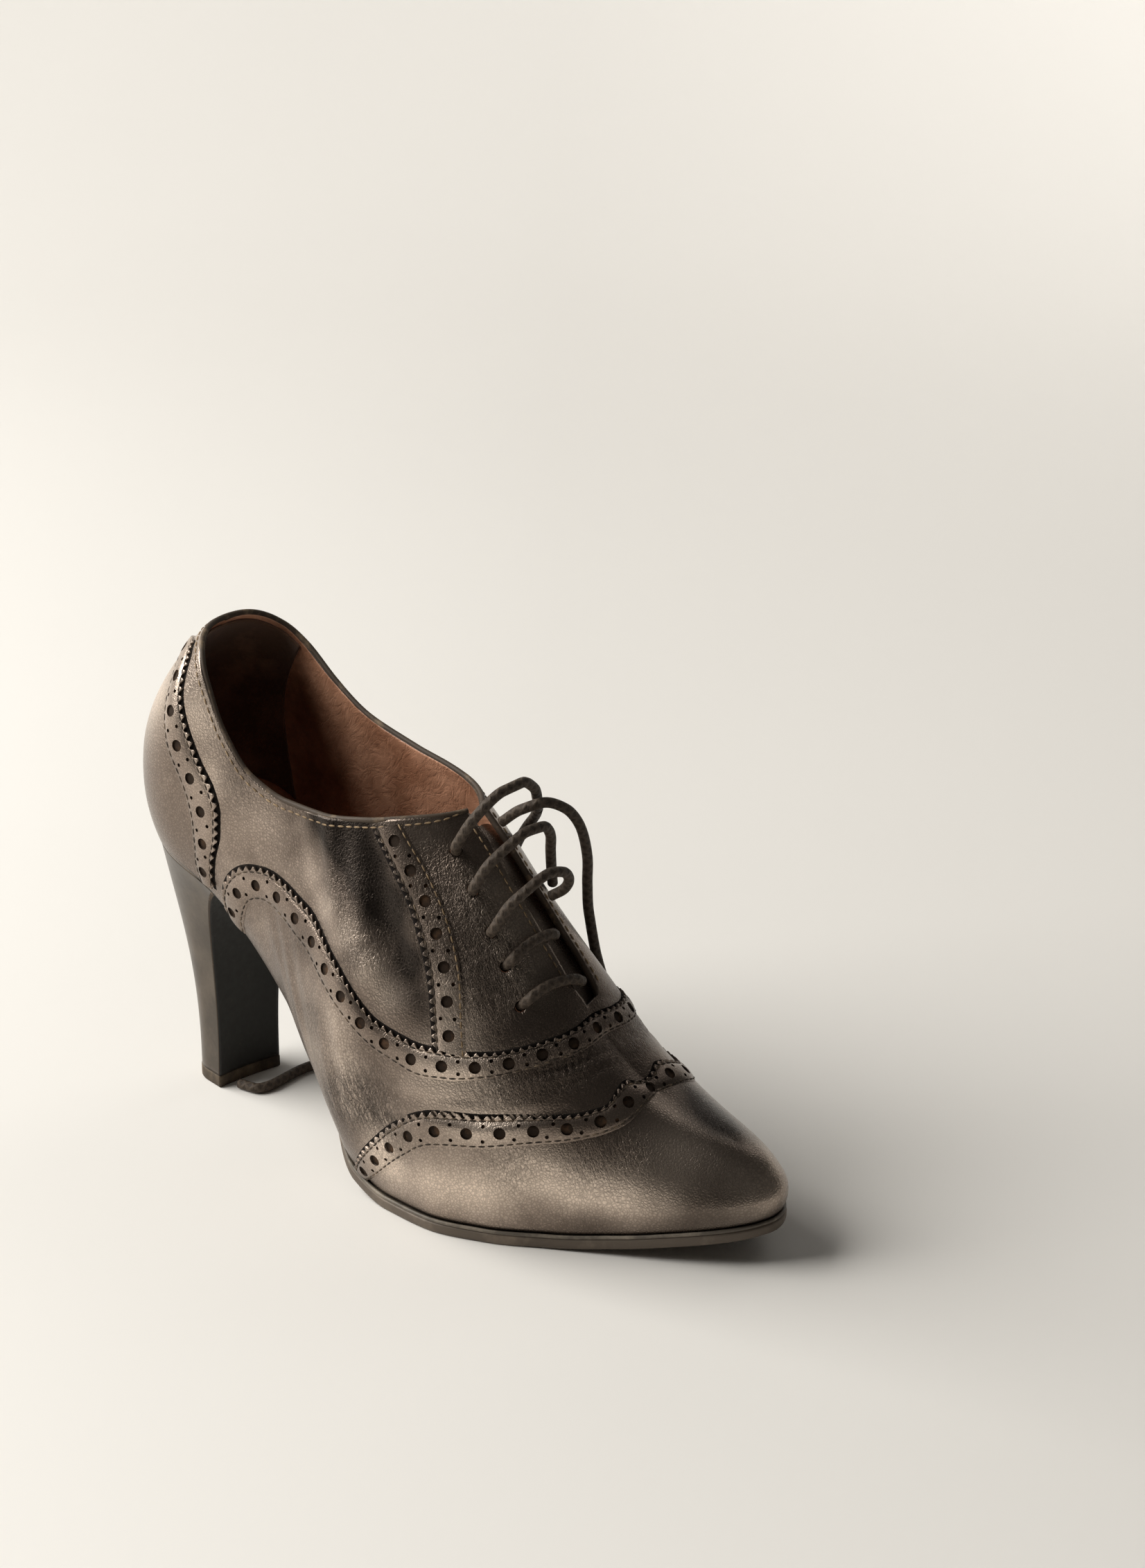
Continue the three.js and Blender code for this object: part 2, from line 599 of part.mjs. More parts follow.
// Stack of heel outlines joined into a closed solid; its caps are strips across the heel.
function heelStack(levels) {
  const rings = levels.map(({ height, z }) => heelOutline(height).map((p) => p.setZ(z(p.x))));
  const size = rings[0].length;
  const points = rings.flat();
  const faces = ringFaces(rings.length, size);
  [0, rings.length - 1].forEach((level) => {
    for (let j = 0; j < (size - 1) / 2; j += 1) {
      const a = level * size + j;
      const b = a + 1;
      const c = level * size + size - 1 - j;
      const d = c - 1;
      if (level === 0) faces.push([a, b, d], [a, d, c]);
      else faces.push([a, d, b], [a, c, d]);
    }
  });
  return outward(meshOf(points, faces));
}

function makeHeel() {
  const levels = sequence(10).map((h) => ({
    height: h,
    z: (x) => {
      const seat = footAt(x) - SEAM_GAP;
      const level = lerp(TIP_HEIGHT + SEAM_GAP, SEAT_HEIGHT - SEAM_GAP, h);
      return level + (seat - (SEAT_HEIGHT - SEAM_GAP)) * h ** 3;
    },
  }));
  return heelStack(levels);
}

function makeHeelTip() {
  return heelStack([{ height: 0, z: () => 0 }, { height: 0, z: () => TIP_HEIGHT }]);
}

// Round cord along a curve through points.
function makeCord(points, diameter, spacing) {
  const curve = new THREE.CatmullRomCurve3(points, false, 'centripetal');
  const steps = Math.max(8, Math.round(curve.getLength() / spacing));
  const ring = sequence(LACE_SIDES).slice(1).map((t) => new THREE.Vector2(
    diameter / 2 * Math.cos(2 * Math.PI * t),
    diameter / 2 * Math.sin(2 * Math.PI * t),
  ));
  const geometry = new THREE.ExtrudeGeometry(new THREE.Shape(ring), {
    extrudePath: curve,
    steps,
    bevelEnabled: false,
  });
  return outward(plain(geometry));
}

const vectors = (rows) => rows.map(([x, y, z]) => new THREE.Vector3(x, y, z));

// A bar that lies flat from a lace hole over the lateral facing and dips into the throat.
function lowBarPath({ hole, at, girth }) {
  const from = EYELETS[hole];
  const lift = LACE_DIAMETER / 2 + LACE_LIFT;
  return sequence(7).map((t) => offsetPoint(lerp(from.lateral, at, t), lerp(from.girth, girth, t),
    lift * (1 - THREE.MathUtils.smoothstep(t, 0.84, 1.04))));
}

const shoe = new THREE.Group();

function addPiece(name, geometry, finish) {
  geometry.computeVertexNormals();
  const mesh = new THREE.Mesh(geometry, new THREE.MeshStandardMaterial(finish));
  mesh.name = name;
  shoe.add(mesh);
}

addPiece('outsole', makeOutsole(), SOLE_RUBBER);
addPiece('heel', makeHeel(), HEEL_COVER);
addPiece('heel_tip', makeHeelTip(), TIP_RUBBER);
addPiece('insole', makeInsole(), SOCK_LEATHER);
addPiece('upper', makeUpper(), LEATHER);
addPiece('tongue', makeTongue(), LEATHER);
addPiece('toe_wing_band', makeBand(TOE_BAND, true, 36), BAND_LEATHER);
addPiece('vamp_band', makeBand(VAMP_BAND, true, 48), BAND_LEATHER);
addPiece('counter_band_lateral', makeBand(COUNTER_BAND, false, 16, 4), BAND_LEATHER);
addPiece('counter_band_medial', makeBand(medialRows(COUNTER_BAND), false, 16, 4), BAND_LEATHER);
addPiece('facing_band_lateral', makeBand(FACING_BAND, false, 12), BAND_LEATHER);
addPiece('facing_band_medial', makeBand(medialRows(FACING_BAND), false, 12), BAND_LEATHER);

const bars = [...LACE_BARS.map(vectors), ...LOW_BARS.map(lowBarPath)];
bars.forEach((points, i) => addPiece(`lace_bar_${i + 1}`, makeCord(points, LACE_DIAMETER, 4.5), LACE_COTTON));
addPiece('lace_end_floor', makeCord(vectors(LACE_END_FLOOR), LACE_DIAMETER, 6), LACE_COTTON);
addPiece('lace_end_medial', makeCord(vectors(LACE_END_MEDIAL), LACE_DIAMETER, 6), LACE_COTTON);

// The origin lies under the middle of the shoe, leaving out the free lace ends.
const box = new THREE.Box3();
shoe.children.filter((mesh) => !mesh.name.startsWith('lace_end'))
  .forEach((mesh) => box.expandByObject(mesh, true));
const middle = box.getCenter(new THREE.Vector3());
shoe.position.set(-middle.x, -middle.y, -box.min.z);

export default shoe;
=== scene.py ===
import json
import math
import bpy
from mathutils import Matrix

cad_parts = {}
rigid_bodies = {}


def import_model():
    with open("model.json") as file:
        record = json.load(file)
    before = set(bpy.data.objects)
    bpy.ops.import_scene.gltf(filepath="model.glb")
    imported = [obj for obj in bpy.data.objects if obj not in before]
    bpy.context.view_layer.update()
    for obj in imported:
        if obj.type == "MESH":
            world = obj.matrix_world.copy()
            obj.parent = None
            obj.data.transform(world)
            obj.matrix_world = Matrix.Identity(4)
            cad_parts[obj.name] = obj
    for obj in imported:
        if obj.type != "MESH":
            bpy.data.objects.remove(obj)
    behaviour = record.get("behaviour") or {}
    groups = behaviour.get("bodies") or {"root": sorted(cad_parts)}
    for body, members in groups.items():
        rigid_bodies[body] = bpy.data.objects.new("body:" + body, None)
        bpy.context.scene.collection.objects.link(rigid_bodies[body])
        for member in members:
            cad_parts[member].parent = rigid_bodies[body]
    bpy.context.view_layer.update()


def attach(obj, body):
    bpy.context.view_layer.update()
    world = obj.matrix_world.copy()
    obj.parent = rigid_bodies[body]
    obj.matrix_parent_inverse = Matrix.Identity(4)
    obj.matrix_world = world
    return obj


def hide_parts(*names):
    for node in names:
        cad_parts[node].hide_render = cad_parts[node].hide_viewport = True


bl_info = {
    "name": "Heeled Brogue Oxford",
    "version": (1, 0, 0),
    "blender": (4, 5, 0),
    "location": "View3D > Sidebar > Oxford",
    "description": "Dresses the solids of a high-heeled brogue oxford in aged leather",
    "category": "Object",
}

import bpy
import numpy as np
from mathutils import Matrix, Vector

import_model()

# Driving sizes of the last, in millimetres, with x from the heel's rearmost point to the toe,
# y from the middle of the heel to the inner side and z up from the floor.
LENGTH = 220.0
BALL_WIDTH = 70.0
SEAT_HEIGHT = 84.0
INSTEP_HEIGHT = 120.0
SEAT_BACK = 2.5
HEEL_ROUND = 27.0
TOE_ROUND = 45.0
COLLAR_LEAN = 15.0
LEAN_FROM = 112.0
LEAN_FULL = 154.0
LEAN_REACH = 70.0
UPPER_WALL = 1.8
COLLAR_HEIGHT = 153.0
THROAT_GAP = 9.0
THROAT_SHIFT = 3.5
THROAT_END = 0.728
# Share of LENGTH where the topline ends on each side, and how steeply the cut rises past it.
FACING_TOP = {-1: 0.565, 1: 0.545}
FACING_RISE = 19.4
SOLE_THICKNESS = 3.8
SOLE_EDGE = 1.2
WAIST_TUCK = 2.2
SOLE_BACK = 39.0
HEEL_BREAST = 38.0
LACE_DIAMETER = 2.8
# Where the last's origin lies in the part's own frame.
LAST_ORIGIN = np.array([-110.167, 3.119, 0.0])

# Stations: share of LENGTH, then shares of BALL_WIDTH for centre, lateral, medial and bulge,
# of SEAT_HEIGHT for foot and INSTEP_HEIGHT for ridge, and the section's exponents on each side.
STATIONS = np.array([
    # at, centre, lateral, medial, foot, ridge, bulge, square lateral, square medial
    [0.00, 0.000, 0.357, 0.357, 1.000, 1.483, 0.071, 2.0, 2.0],
    [0.06, 0.000, 0.357, 0.357, 0.988, 1.483, 0.080, 2.1, 2.1],
    [0.14, 0.000, 0.352, 0.344, 0.929, 1.483, 0.091, 2.2, 2.25],
    [0.22, -0.005, 0.331, 0.297, 0.773, 1.463, 0.103, 2.35, 2.5],
    [0.30, -0.014, 0.314, 0.264, 0.529, 1.433, 0.114, 2.45, 3.0],
    [0.38, -0.033, 0.351, 0.284, 0.259, 1.341, 0.126, 2.45, 3.8],
    [0.46, -0.052, 0.442, 0.357, 0.089, 1.173, 0.112, 2.25, 3.6],
    [0.53, -0.061, 0.475, 0.441, 0.048, 1.025, 0.068, 2.1, 2.7],
    [0.60, -0.062, 0.493, 0.500, 0.048, 0.892, 0.051, 2.0, 2.15],
    [0.68, -0.025, 0.466, 0.507, 0.048, 0.677, 0.039, 2.1, 2.1],
    [0.76, 0.024, 0.390, 0.475, 0.052, 0.463, 0.030, 2.15, 2.15],
    [0.84, 0.075, 0.328, 0.403, 0.076, 0.338, 0.029, 2.25, 2.25],
    [0.92, 0.114, 0.298, 0.354, 0.115, 0.285, 0.029, 2.3, 2.3],
    [1.00, 0.143, 0.286, 0.329, 0.155, 0.242, 0.029, 2.4, 2.4],
])
# Shares of LENGTH where the ridge starts and ends.
RIDGE_START = 0.15
RIDGE_END = 0.93

# Topline: share of LENGTH, then shares of COLLAR_HEIGHT on the lateral and the medial side.
COLLAR = np.array([
    [0.000, 1.000, 1.000],
    [0.105, 0.995, 0.995],
    [0.135, 0.975, 0.960],
    [0.160, 0.930, 0.930],
    [0.200, 0.838, 0.890],
    [0.250, 0.765, 0.848],
    [0.310, 0.735, 0.815],
    [0.375, 0.732, 0.795],
    [0.440, 0.746, 0.782],
    [0.500, 0.762, 0.768],
    [0.560, 0.772, 0.760],
])

# Lace holes: place on the lateral facing, place on the medial facing, girth up the lateral wall.
EYELETS = [
    (0.524, 0.534, 0.82),
    (0.551, 0.561, 0.78),
    (0.577, 0.589, 0.75),
    (0.597, 0.612, 0.72),
    (0.619, 0.624, 0.67),
]

# Bands: place and girth of the pinked edge, then of the stitched edge.
VAMP_BAND = [
    [0.287, 0.010, 0.312, 0.010], [0.296, 0.060, 0.320, 0.045], [0.314, 0.130, 0.330, 0.085],
    [0.338, 0.205, 0.344, 0.145], [0.362, 0.260, 0.364, 0.200], [0.403, 0.330, 0.404, 0.265],
    [0.432, 0.358, 0.433, 0.290], [0.461, 0.362, 0.462, 0.295], [0.506, 0.335, 0.510, 0.280],
    [0.539, 0.345, 0.543, 0.285], [0.574, 0.390, 0.579, 0.330], [0.616, 0.500, 0.623, 0.445],
    [0.641, 0.630, 0.653, 0.595], [0.657, 0.770, 0.672, 0.750], [0.663, 0.890, 0.680, 0.880],
    [0.664, 1.000, 0.682, 1.000],
]
TOE_BAND = [
    [0.472, 0.005, 0.490, 0.005], [0.503, 0.095, 0.523, 0.070], [0.533, 0.170, 0.545, 0.115],
    [0.561, 0.230, 0.566, 0.160], [0.613, 0.310, 0.616, 0.225], [0.660, 0.420, 0.653, 0.300],
    [0.695, 0.540, 0.691, 0.400], [0.713, 0.650, 0.718, 0.500], [0.717, 0.750, 0.739, 0.630],
    [0.721, 0.850, 0.752, 0.800], [0.738, 1.000, 0.761, 1.000],
]
COUNTER_BAND = [
    [0.105, 0.490, 0.010, 0.440], [0.150, 0.470, 0.090, 0.425], [0.176, 0.440, 0.145, 0.395],
    [0.203, 0.395, 0.175, 0.345], [0.247, 0.330, 0.214, 0.270], [0.273, 0.297, 0.243, 0.225],
    [0.294, 0.275, 0.258, 0.190], [0.306, 0.240, 0.264, 0.150], [0.307, 0.200, 0.263, 0.110],
    [0.297, 0.130, 0.254, 0.050], [0.281, 0.040, 0.250, 0.010],
]
FACING_BAND = [
    [0.457, 0.630, 0.477, 0.720], [0.482, 0.615, 0.508, 0.700], [0.506, 0.590, 0.534, 0.665],
    [0.527, 0.540, 0.555, 0.620], [0.544, 0.480, 0.571, 0.560], [0.556, 0.410, 0.583, 0.470],
    [0.5615, 0.370, 0.5905, 0.410],
]

# Lace routes, in the last's frame.
LACE_BARS = [
    [[124.8, -15, 109.7], [126.8, -17.3, 112.6], [130, -17, 118], [133.5, -13, 124.5],
     [135.5, -7, 128], [136.5, 0, 128.5], [136, 6, 125], [133.5, 11, 119], [130.5, 15, 114]],
    [[132, -16.4, 99.7], [134.6, -19, 102.5], [138, -17.5, 109], [141.5, -12, 114.5],
     [143.5, -6, 117.5], [144, 0, 117], [142.5, 5.5, 112.5], [139.5, 9.5, 105], [137, 13, 97.5],
     [134.9, 16.2, 90.8]],
    [[139.7, -17.7, 89.3], [142.2, -19.6, 92], [146, -18, 99], [149.5, -13, 104], [151, -6, 106.5],
     [151.5, 0, 105], [150.5, 4, 101], [147.5, 5.5, 96.5], [143.5, 4.5, 93.5]],
]
# Place and girth where the two lowest bars end, which lie flat on the lateral facing.
LOW_BARS = [(0.607, 1.045), (0.641, 1.045)]
LACE_END_FLOOR = [
    [130.3, 15.3, 113.6], [127, 18, 109.3], [122.5, 19.8, 104], [118.1, 21.8, 98.2],
    [112.5, 25.5, 90.6], [106.3, 28.3, 81.3], [99.3, 30, 70.7], [93.1, 30.8, 58.5], [88, 31.5, 46],
    [83, 32, 34], [77, 32, 21.5], [70, 31, 11], [62, 29.5, 4.2], [54, 27, 1.7], [46.5, 22.5, 1.7],
    [41.2, 15.5, 1.7], [39.6, 6, 1.7], [39.5, -2.5, 1.7], [37.2, -8.3, 1.7], [31, -9.2, 1.7],
]
LACE_END_MEDIAL = [
    [128, 1.5, 113.5], [134, 3, 118.5], [139, 7.5, 120.5], [142.5, 13, 117.5], [144, 18, 110],
    [143.5, 21.5, 100], [142, 23.5, 90], [140.8, 25.8, 79.5], [141, 28.6, 66.5],
    [141.6, 32.2, 54.1], [141.7, 35.3, 42.8], [140.7, 37.4, 31.3], [138.3, 39, 20.5],
    [134, 41, 10.5], [127, 43.5, 3.8], [118, 45.5, 1.7], [107, 45.5, 1.7], [96, 42.5, 1.7],
    [87, 37, 1.7], [80, 30, 1.7],
]

# Creases in the skin: depth and half width in millimetres, then (place, girth) along each.
CREASES = [
    # broad sag of the quarter: a fold behind, a hollow before the facing band
    (-0.75, 5.5, [(0.395, 0.600), (0.425, 0.480), (0.450, 0.430), (0.478, 0.390)]),
    (1.30, 5.2, [(0.450, 0.640), (0.475, 0.560), (0.500, 0.495), (0.524, 0.440)]),
    # across the vamp between the two bands
    (0.50, 0.85, [(0.618, 0.428), (0.644, 0.528), (0.676, 0.720), (0.690, 1.000)]),
    (0.55, 0.95, [(0.626, 0.410), (0.660, 0.600), (0.682, 0.780), (0.698, 1.000)]),
    (0.50, 0.85, [(0.632, 0.404), (0.664, 0.550), (0.686, 0.700), (0.708, 0.930)]),
    (0.45, 1.5, [(0.560, 0.235), (0.610, 0.290), (0.650, 0.390), (0.680, 0.500)]),
    (0.35, 1.3, [(0.500, 0.230), (0.530, 0.225), (0.560, 0.255), (0.600, 0.320)]),
    (0.30, 0.9, [(0.470, 0.180), (0.500, 0.165), (0.530, 0.180), (0.560, 0.215)]),
    (0.30, 1.5, [(0.655, 1.480), (0.672, 1.320), (0.688, 1.160), (0.690, 1.020)]),
    (0.28, 1.4, [(0.610, 1.660), (0.645, 1.540), (0.675, 1.400), (0.694, 1.260)]),
    (0.35, 1.0, [(0.570, 1.760), (0.600, 1.700), (0.640, 1.620), (0.670, 1.520)]),
    # waist and quarter
    (0.50, 2.4, [(0.400, 0.250), (0.420, 0.180), (0.440, 0.100), (0.455, 0.040)]),
    (0.35, 1.8, [(0.380, 0.230), (0.398, 0.160), (0.410, 0.080)]),
    (0.45, 2.2, [(0.455, 0.270), (0.470, 0.200), (0.480, 0.120)]),
    (0.60, 3.2, [(0.430, 0.560), (0.445, 0.500), (0.462, 0.440), (0.480, 0.385)]),
    (0.40, 2.2, [(0.400, 0.520), (0.415, 0.470), (0.440, 0.410)]),
    # lower part of the facing
    (0.30, 0.55, [(0.568, 0.636), (0.576, 0.605), (0.582, 0.576), (0.596, 0.480)]),
    (0.28, 0.50, [(0.576, 0.648), (0.583, 0.610), (0.590, 0.580), (0.606, 0.500)]),
    (0.28, 0.50, [(0.586, 0.644), (0.594, 0.612), (0.600, 0.592), (0.612, 0.530)]),
    (0.25, 0.50, [(0.561, 0.610), (0.570, 0.575), (0.576, 0.540), (0.585, 0.480)]),
    (0.25, 0.50, [(0.572, 0.655), (0.579, 0.628), (0.586, 0.590), (0.600, 0.505)]),
    (0.22, 0.45, [(0.597, 0.650), (0.604, 0.620), (0.612, 0.590), (0.622, 0.560)]),
    (0.22, 0.60, [(0.538, 0.700), (0.548, 0.680), (0.556, 0.660), (0.566, 0.620)]),
]

# Clearance between upper, sole and heel, and the share of the sole's thickness left at the waist.
PIECE_GAP = 0.3
WAIST_THICKNESS = 0.65
# Foot of the heel: x of its back and breast, half its width, and its turn about the heel's axis.
HEEL_FOOT_BACK = 12.5
HEEL_FOOT_BREAST = 28.5
HEEL_FOOT_HALF = 11.4
HEEL_TWIST = math.radians(12)
HEEL_FLARE = 2.3
# Share of a heel section that is cover, the rest being breast.
COVER_SHARE = 0.8
# Height of the heel's lower end over the floor, and the middle of the top lift under it.
LIFT_TOP = 4.1
LIFT_MIDDLE = np.array([20.5, 0.0])
# Depth of the upper's lip turned in under the foot, and the share of the rows spent on it.
UNDER_LIP = 2.0
LIP_SHARE = 0.04
# Where the groove along the toe's ridge is evened out: from and to in x, and in height over the foot.
GROOVE_X = (179, 190)
GROOVE_HEIGHT = (7, 14)
# Insets of the stitch rows at the collar and the facing's front, and width and height of a thread.
COLLAR_STITCH = 2.3
FRONT_STITCH = 2.0
THREAD = (0.58, 0.46)
# Radius of the rolled topline, and its middle's level over the last.
BINDING_RADIUS = 0.85
BINDING_LEVEL = -0.75
# Reach of the tongue as shares of LENGTH, and its clearance under the facings.
TONGUE_SPAN = (0.538, 0.752)
TONGUE_GAP = 0.75
# Width of a pinhole, and how far across a band the large holes lie.
PINHOLE = 1.15
HOLES_ACROSS = 0.53
# Shares across a band: where a tooth ends, and the start and width of the painted shadow strip under the
# teeth and of the backing strip.
TOOTH_END = 0.14
SHADOW_STRIP = (-0.036, 0.176)
BACKING_STRIP = (0.28, 0.5)
# Suede patch: shares up the wall where it ends and starts, and its clearance from the lining.
GRIP_TOP = 0.97
GRIP_BOTTOM = 0.10
GRIP_GAP = 0.55
# Turn that lays the mapped X axis along the facing, where its fine wrinkles run.
FACING_RUN = (0.0, 1.126, 0.0)

# Paper of the floor and backdrop, in metres: width, length, flat part, radius of the bend, and how
# far it reaches towards the camera.
PAPER_WIDTH = 7.0
PAPER_LENGTH = 3.9
PAPER_FLAT = 2.9
PAPER_BEND = 0.6
PAPER_NEAR = 2.0
# Brightness of the room, and of the part that the camera sees past the paper.
WORLD_STRENGTH = 0.05
WORLD_SEEN = 0.80
# The lamps: place right of, behind and above the shoe, the spot on the floor that it looks at, power,
# size, spread in degrees and tone.
LIGHTS = [
    ("window", (-1.15, 0.20, 0.95), (0.0, 0.0), 40.0, (1.3, 1.1), 180, (1.0, 0.985, 0.95)),
    ("back wash", (0.6, 1.0, 1.5), (0.9, 1.9), 5.0, (1.2, 1.0), 95, (1.0, 0.985, 0.96)),
    ("far fill", (1.3, 1.4, 1.7), (0.0, 0.0), 4.0, (1.2, 1.2), 180, (1.0, 0.97, 0.93)),
]

# Soft spots where the leather is rubbed and brightened by painted highlight, darkened by painted shade
# or finely creased: place, girth, radius in millimetres and strength.
# Rubbed wear and painted highlight: spots where the leather's colour is lightened, on the lit counter,
# quarter, waist, vamp and toe and on the back and inner side.
RUBBED_AND_LIT = [
    # counter and quarter
    (0.246, 0.384, 9, 0.6), (0.288, 0.292, 7, 0.5), (0.296, 0.452, 9, 0.3), (0.108, 0.472, 9, 0.3),
    (0.344, 0.304, 7, 0.2), (0.415, 0.400, 5, 0.3), (0.440, 0.408, 5, 0.5), (0.466, 0.418, 5, 0.6),
    (0.492, 0.412, 5, 0.6), (0.512, 0.392, 5, 0.5),
    # waist
    (0.470, 0.262, 6, 0.5), (0.482, 0.214, 6, 0.7), (0.490, 0.160, 7, 0.6), (0.440, 0.150, 9, 0.4),
    # vamp and its band
    (0.562, 0.348, 6, 0.4), (0.590, 0.408, 6, 0.7), (0.576, 0.460, 6, 0.8), (0.566, 0.516, 5, 0.5),
    (0.584, 0.320, 8, 0.7), (0.612, 0.380, 6, 0.5), (0.554, 0.284, 9, 0.2),
    # toe and its band
    (0.520, 0.116, 7, 0.8), (0.590, 0.220, 6, 0.3), (0.605, 0.265, 5, 0.5), (0.622, 0.296, 6, 0.8),
    (0.640, 0.350, 5, 0.5), (0.524, 0.068, 8, 0.8), (0.572, 0.084, 9, 0.8), (0.614, 0.112, 9, 0.9),
    (0.645, 0.205, 7, 0.9), (0.665, 0.225, 6, 0.8), (0.690, 0.210, 7, 1.0), (0.715, 0.230, 6, 0.8),
    (0.745, 0.230, 7, 1.0), (0.790, 0.230, 6, 0.5), (0.806, 0.600, 12, 0.5), (0.935, 0.300, 9, 0.6),
    # front edge of the facing
    (0.566, 0.860, 8, 0.5), (0.596, 0.824, 8, 0.5), (0.620, 0.772, 6, 0.3),
    # back and inner side
    (0.080, 0.600, 14, 0.6), (0.020, 0.400, 14, 0.8), (0.090, 0.300, 12, 0.7), (0.150, 0.350, 9, 0.5),
    (0.680, 1.820, 14, 0.5), (0.860, 1.800, 14, 0.5), (0.300, 1.500, 16, 0.3), (0.440, 1.700, 14, 0.4),
]
# Painted shade: spots where the leather's colour is darkened towards near-black, in the quarter's hollow
# and on the facing, vamp, toe and inner side.
PAINTED_SHADE = [
    # hollow of the quarter
    (0.406, 0.490, 5, 0.8), (0.424, 0.510, 6, 0.9), (0.442, 0.520, 6, 0.9), (0.462, 0.520, 6, 0.9),
    (0.425, 0.580, 7, 0.6), (0.445, 0.600, 8, 0.8), (0.470, 0.580, 7, 0.8), (0.486, 0.535, 6, 0.8),
    (0.504, 0.510, 5, 0.8), (0.514, 0.480, 4, 0.6), (0.524, 0.462, 4, 0.8), (0.500, 0.570, 6, 0.6),
    (0.528, 0.500, 5, 0.7), (0.538, 0.440, 4, 0.6), (0.546, 0.412, 4, 0.4), (0.480, 0.490, 5, 0.4),
    # facing
    (0.560, 0.680, 9, 0.4), (0.585, 0.640, 8, 0.45), (0.620, 0.620, 9, 0.3),
    # vamp and toe
    (0.655, 0.560, 9, 0.35), (0.710, 0.060, 6, 0.2), (0.810, 0.115, 8, 0.4),
    (0.866, 0.140, 8, 0.5), (0.926, 0.120, 7, 0.4), (0.864, 1.130, 9, 0.5),
    (0.820, 1.180, 9, 0.5), (0.905, 1.150, 8, 0.3), (0.770, 1.200, 10, 0.7),
    # inner side
    (0.560, 1.300, 14, 0.5), (0.500, 1.350, 14, 0.4), (0.620, 1.400, 12, 0.4),
]
CREASED = [
    (0.520, 0.720, 8, 0.5), (0.545, 0.740, 9, 0.7), (0.575, 0.720, 9, 0.8), (0.600, 0.720, 8, 0.7),
    (0.470, 0.130, 11, 0.9), (0.500, 0.180, 10, 0.9), (0.530, 0.150, 8, 0.7), (0.440, 0.200, 8, 0.6),
    (0.420, 0.290, 6, 0.5), (0.560, 0.580, 8, 0.9), (0.590, 0.560, 8, 0.9), (0.540, 0.620, 7, 0.7),
    (0.600, 0.640, 7, 0.6), (0.620, 0.420, 9, 0.8), (0.650, 0.560, 8, 0.8), (0.675, 0.760, 9, 0.7),
    (0.450, 0.480, 8, 0.6), (0.480, 0.420, 8, 0.7), (0.320, 0.340, 8, 0.4), (0.280, 0.420, 8, 0.4),
    (0.640, 0.200, 8, 0.5), (0.700, 0.330, 7, 0.6), (0.740, 0.450, 7, 0.5), (0.690, 1.100, 9, 0.7),
    (0.660, 1.350, 10, 0.8), (0.620, 1.550, 10, 0.8), (0.560, 1.800, 12, 0.8), (0.500, 1.700, 10, 0.6),
]

# Radius of the leather's turn under the foot, and width of a lace hole, in millimetres.
UNDER_ROUND = 0.6
LACE_HOLE = 3.3

# Top of a band: share across it from the pinked edge, and height over the skin in millimetres.
BAND_SECTION = [
    (0.0, 0.72), (0.03, 0.84), (0.08, 0.82), (0.13, 0.72), (0.165, 0.55), (0.20, 0.68),
    (0.26, 0.86), (0.36, 1.00), (0.48, 1.04), (0.60, 1.02), (0.72, 0.92), (0.82, 0.74),
    (0.875, 0.56), (0.91, 0.36), (0.945, 0.36), (1.0, 0.06),
]
# Underside of a band over the skin, and the floor of its large holes, in millimetres.
BAND_INNER = 0.04
HOLE_FLOOR = 0.40

# Where stitch rows lie across a band.
BAND_STITCHES = (0.165, 0.91)

# Half the tongue's width in millimetres, and how far round the heel the suede patch reaches.
THROAT_REACH = 16.0
GRIP_REACH = 0.23

# Edge of the sole: how far out from its line, and level from its base. The ends lie on the middle line.
MIDDLE_LINE = -999.0
SOLE_PROFILE = [
    (MIDDLE_LINE, 1.0), (-4.0, 1.0), (-1.3, 1.0), (-0.9, 1.13), (-0.35, 1.17), (0.0, 1.10),
    (0.03, 0.98), (-0.02, 0.93), (-0.28, 0.90), (-0.28, 0.86), (0.0, 0.82), (0.12, 0.66),
    (0.12, 0.40), (0.05, 0.20), (-0.15, 0.06), (-0.60, 0.0), (-4.0, 0.0), (MIDDLE_LINE, 0.0),
]
# Edge of the top lift: how far out from the heel's foot, and height.
LIFT_PROFILE = [(-0.5, 4.05), (0.05, 3.9), (0.15, 3.6), (0.15, 0.5), (-0.05, 0.12), (-0.6, 0.0)]


def monotone(xs, ys):
    """Monotone cubic through the points, as a function of a number or an array."""
    xs = np.asarray(xs, float)
    ys = np.asarray(ys, float)
    step = np.diff(xs)
    slope = np.diff(ys) / step
    tangent = np.empty(len(xs))
    tangent[0] = slope[0]
    tangent[-1] = slope[-1]
    for i in range(1, len(xs) - 1):
        if slope[i - 1] * slope[i] <= 0:
            tangent[i] = 0
            continue
        before = 2 * step[i] + step[i - 1]
        after = step[i] + 2 * step[i - 1]
        tangent[i] = (before + after) / (before / slope[i - 1] + after / slope[i])

    def value(x):
        x = np.clip(np.asarray(x, float), xs[0], xs[-1])
        i = np.clip(np.searchsorted(xs, x) - 1, 0, len(xs) - 2)
        t = (x - xs[i]) / step[i]
        return (
            ys[i] * (1 + 2 * t) * (1 - t) ** 2
            + step[i] * tangent[i] * t * (1 - t) ** 2
            + ys[i + 1] * t * t * (3 - 2 * t)
            + step[i] * tangent[i + 1] * t * t * (t - 1)
        )

    return value


CENTRE, LATERAL, MEDIAL, FOOT, RIDGE, BULGE, SQUARE_LATERAL, SQUARE_MEDIAL = (
    monotone(STATIONS[:, 0], STATIONS[:, k]) for k in range(1, 9)
)
TOPLINE = {-1: monotone(COLLAR[:, 0], COLLAR[:, 1]), 1: monotone(COLLAR[:, 0], COLLAR[:, 2])}


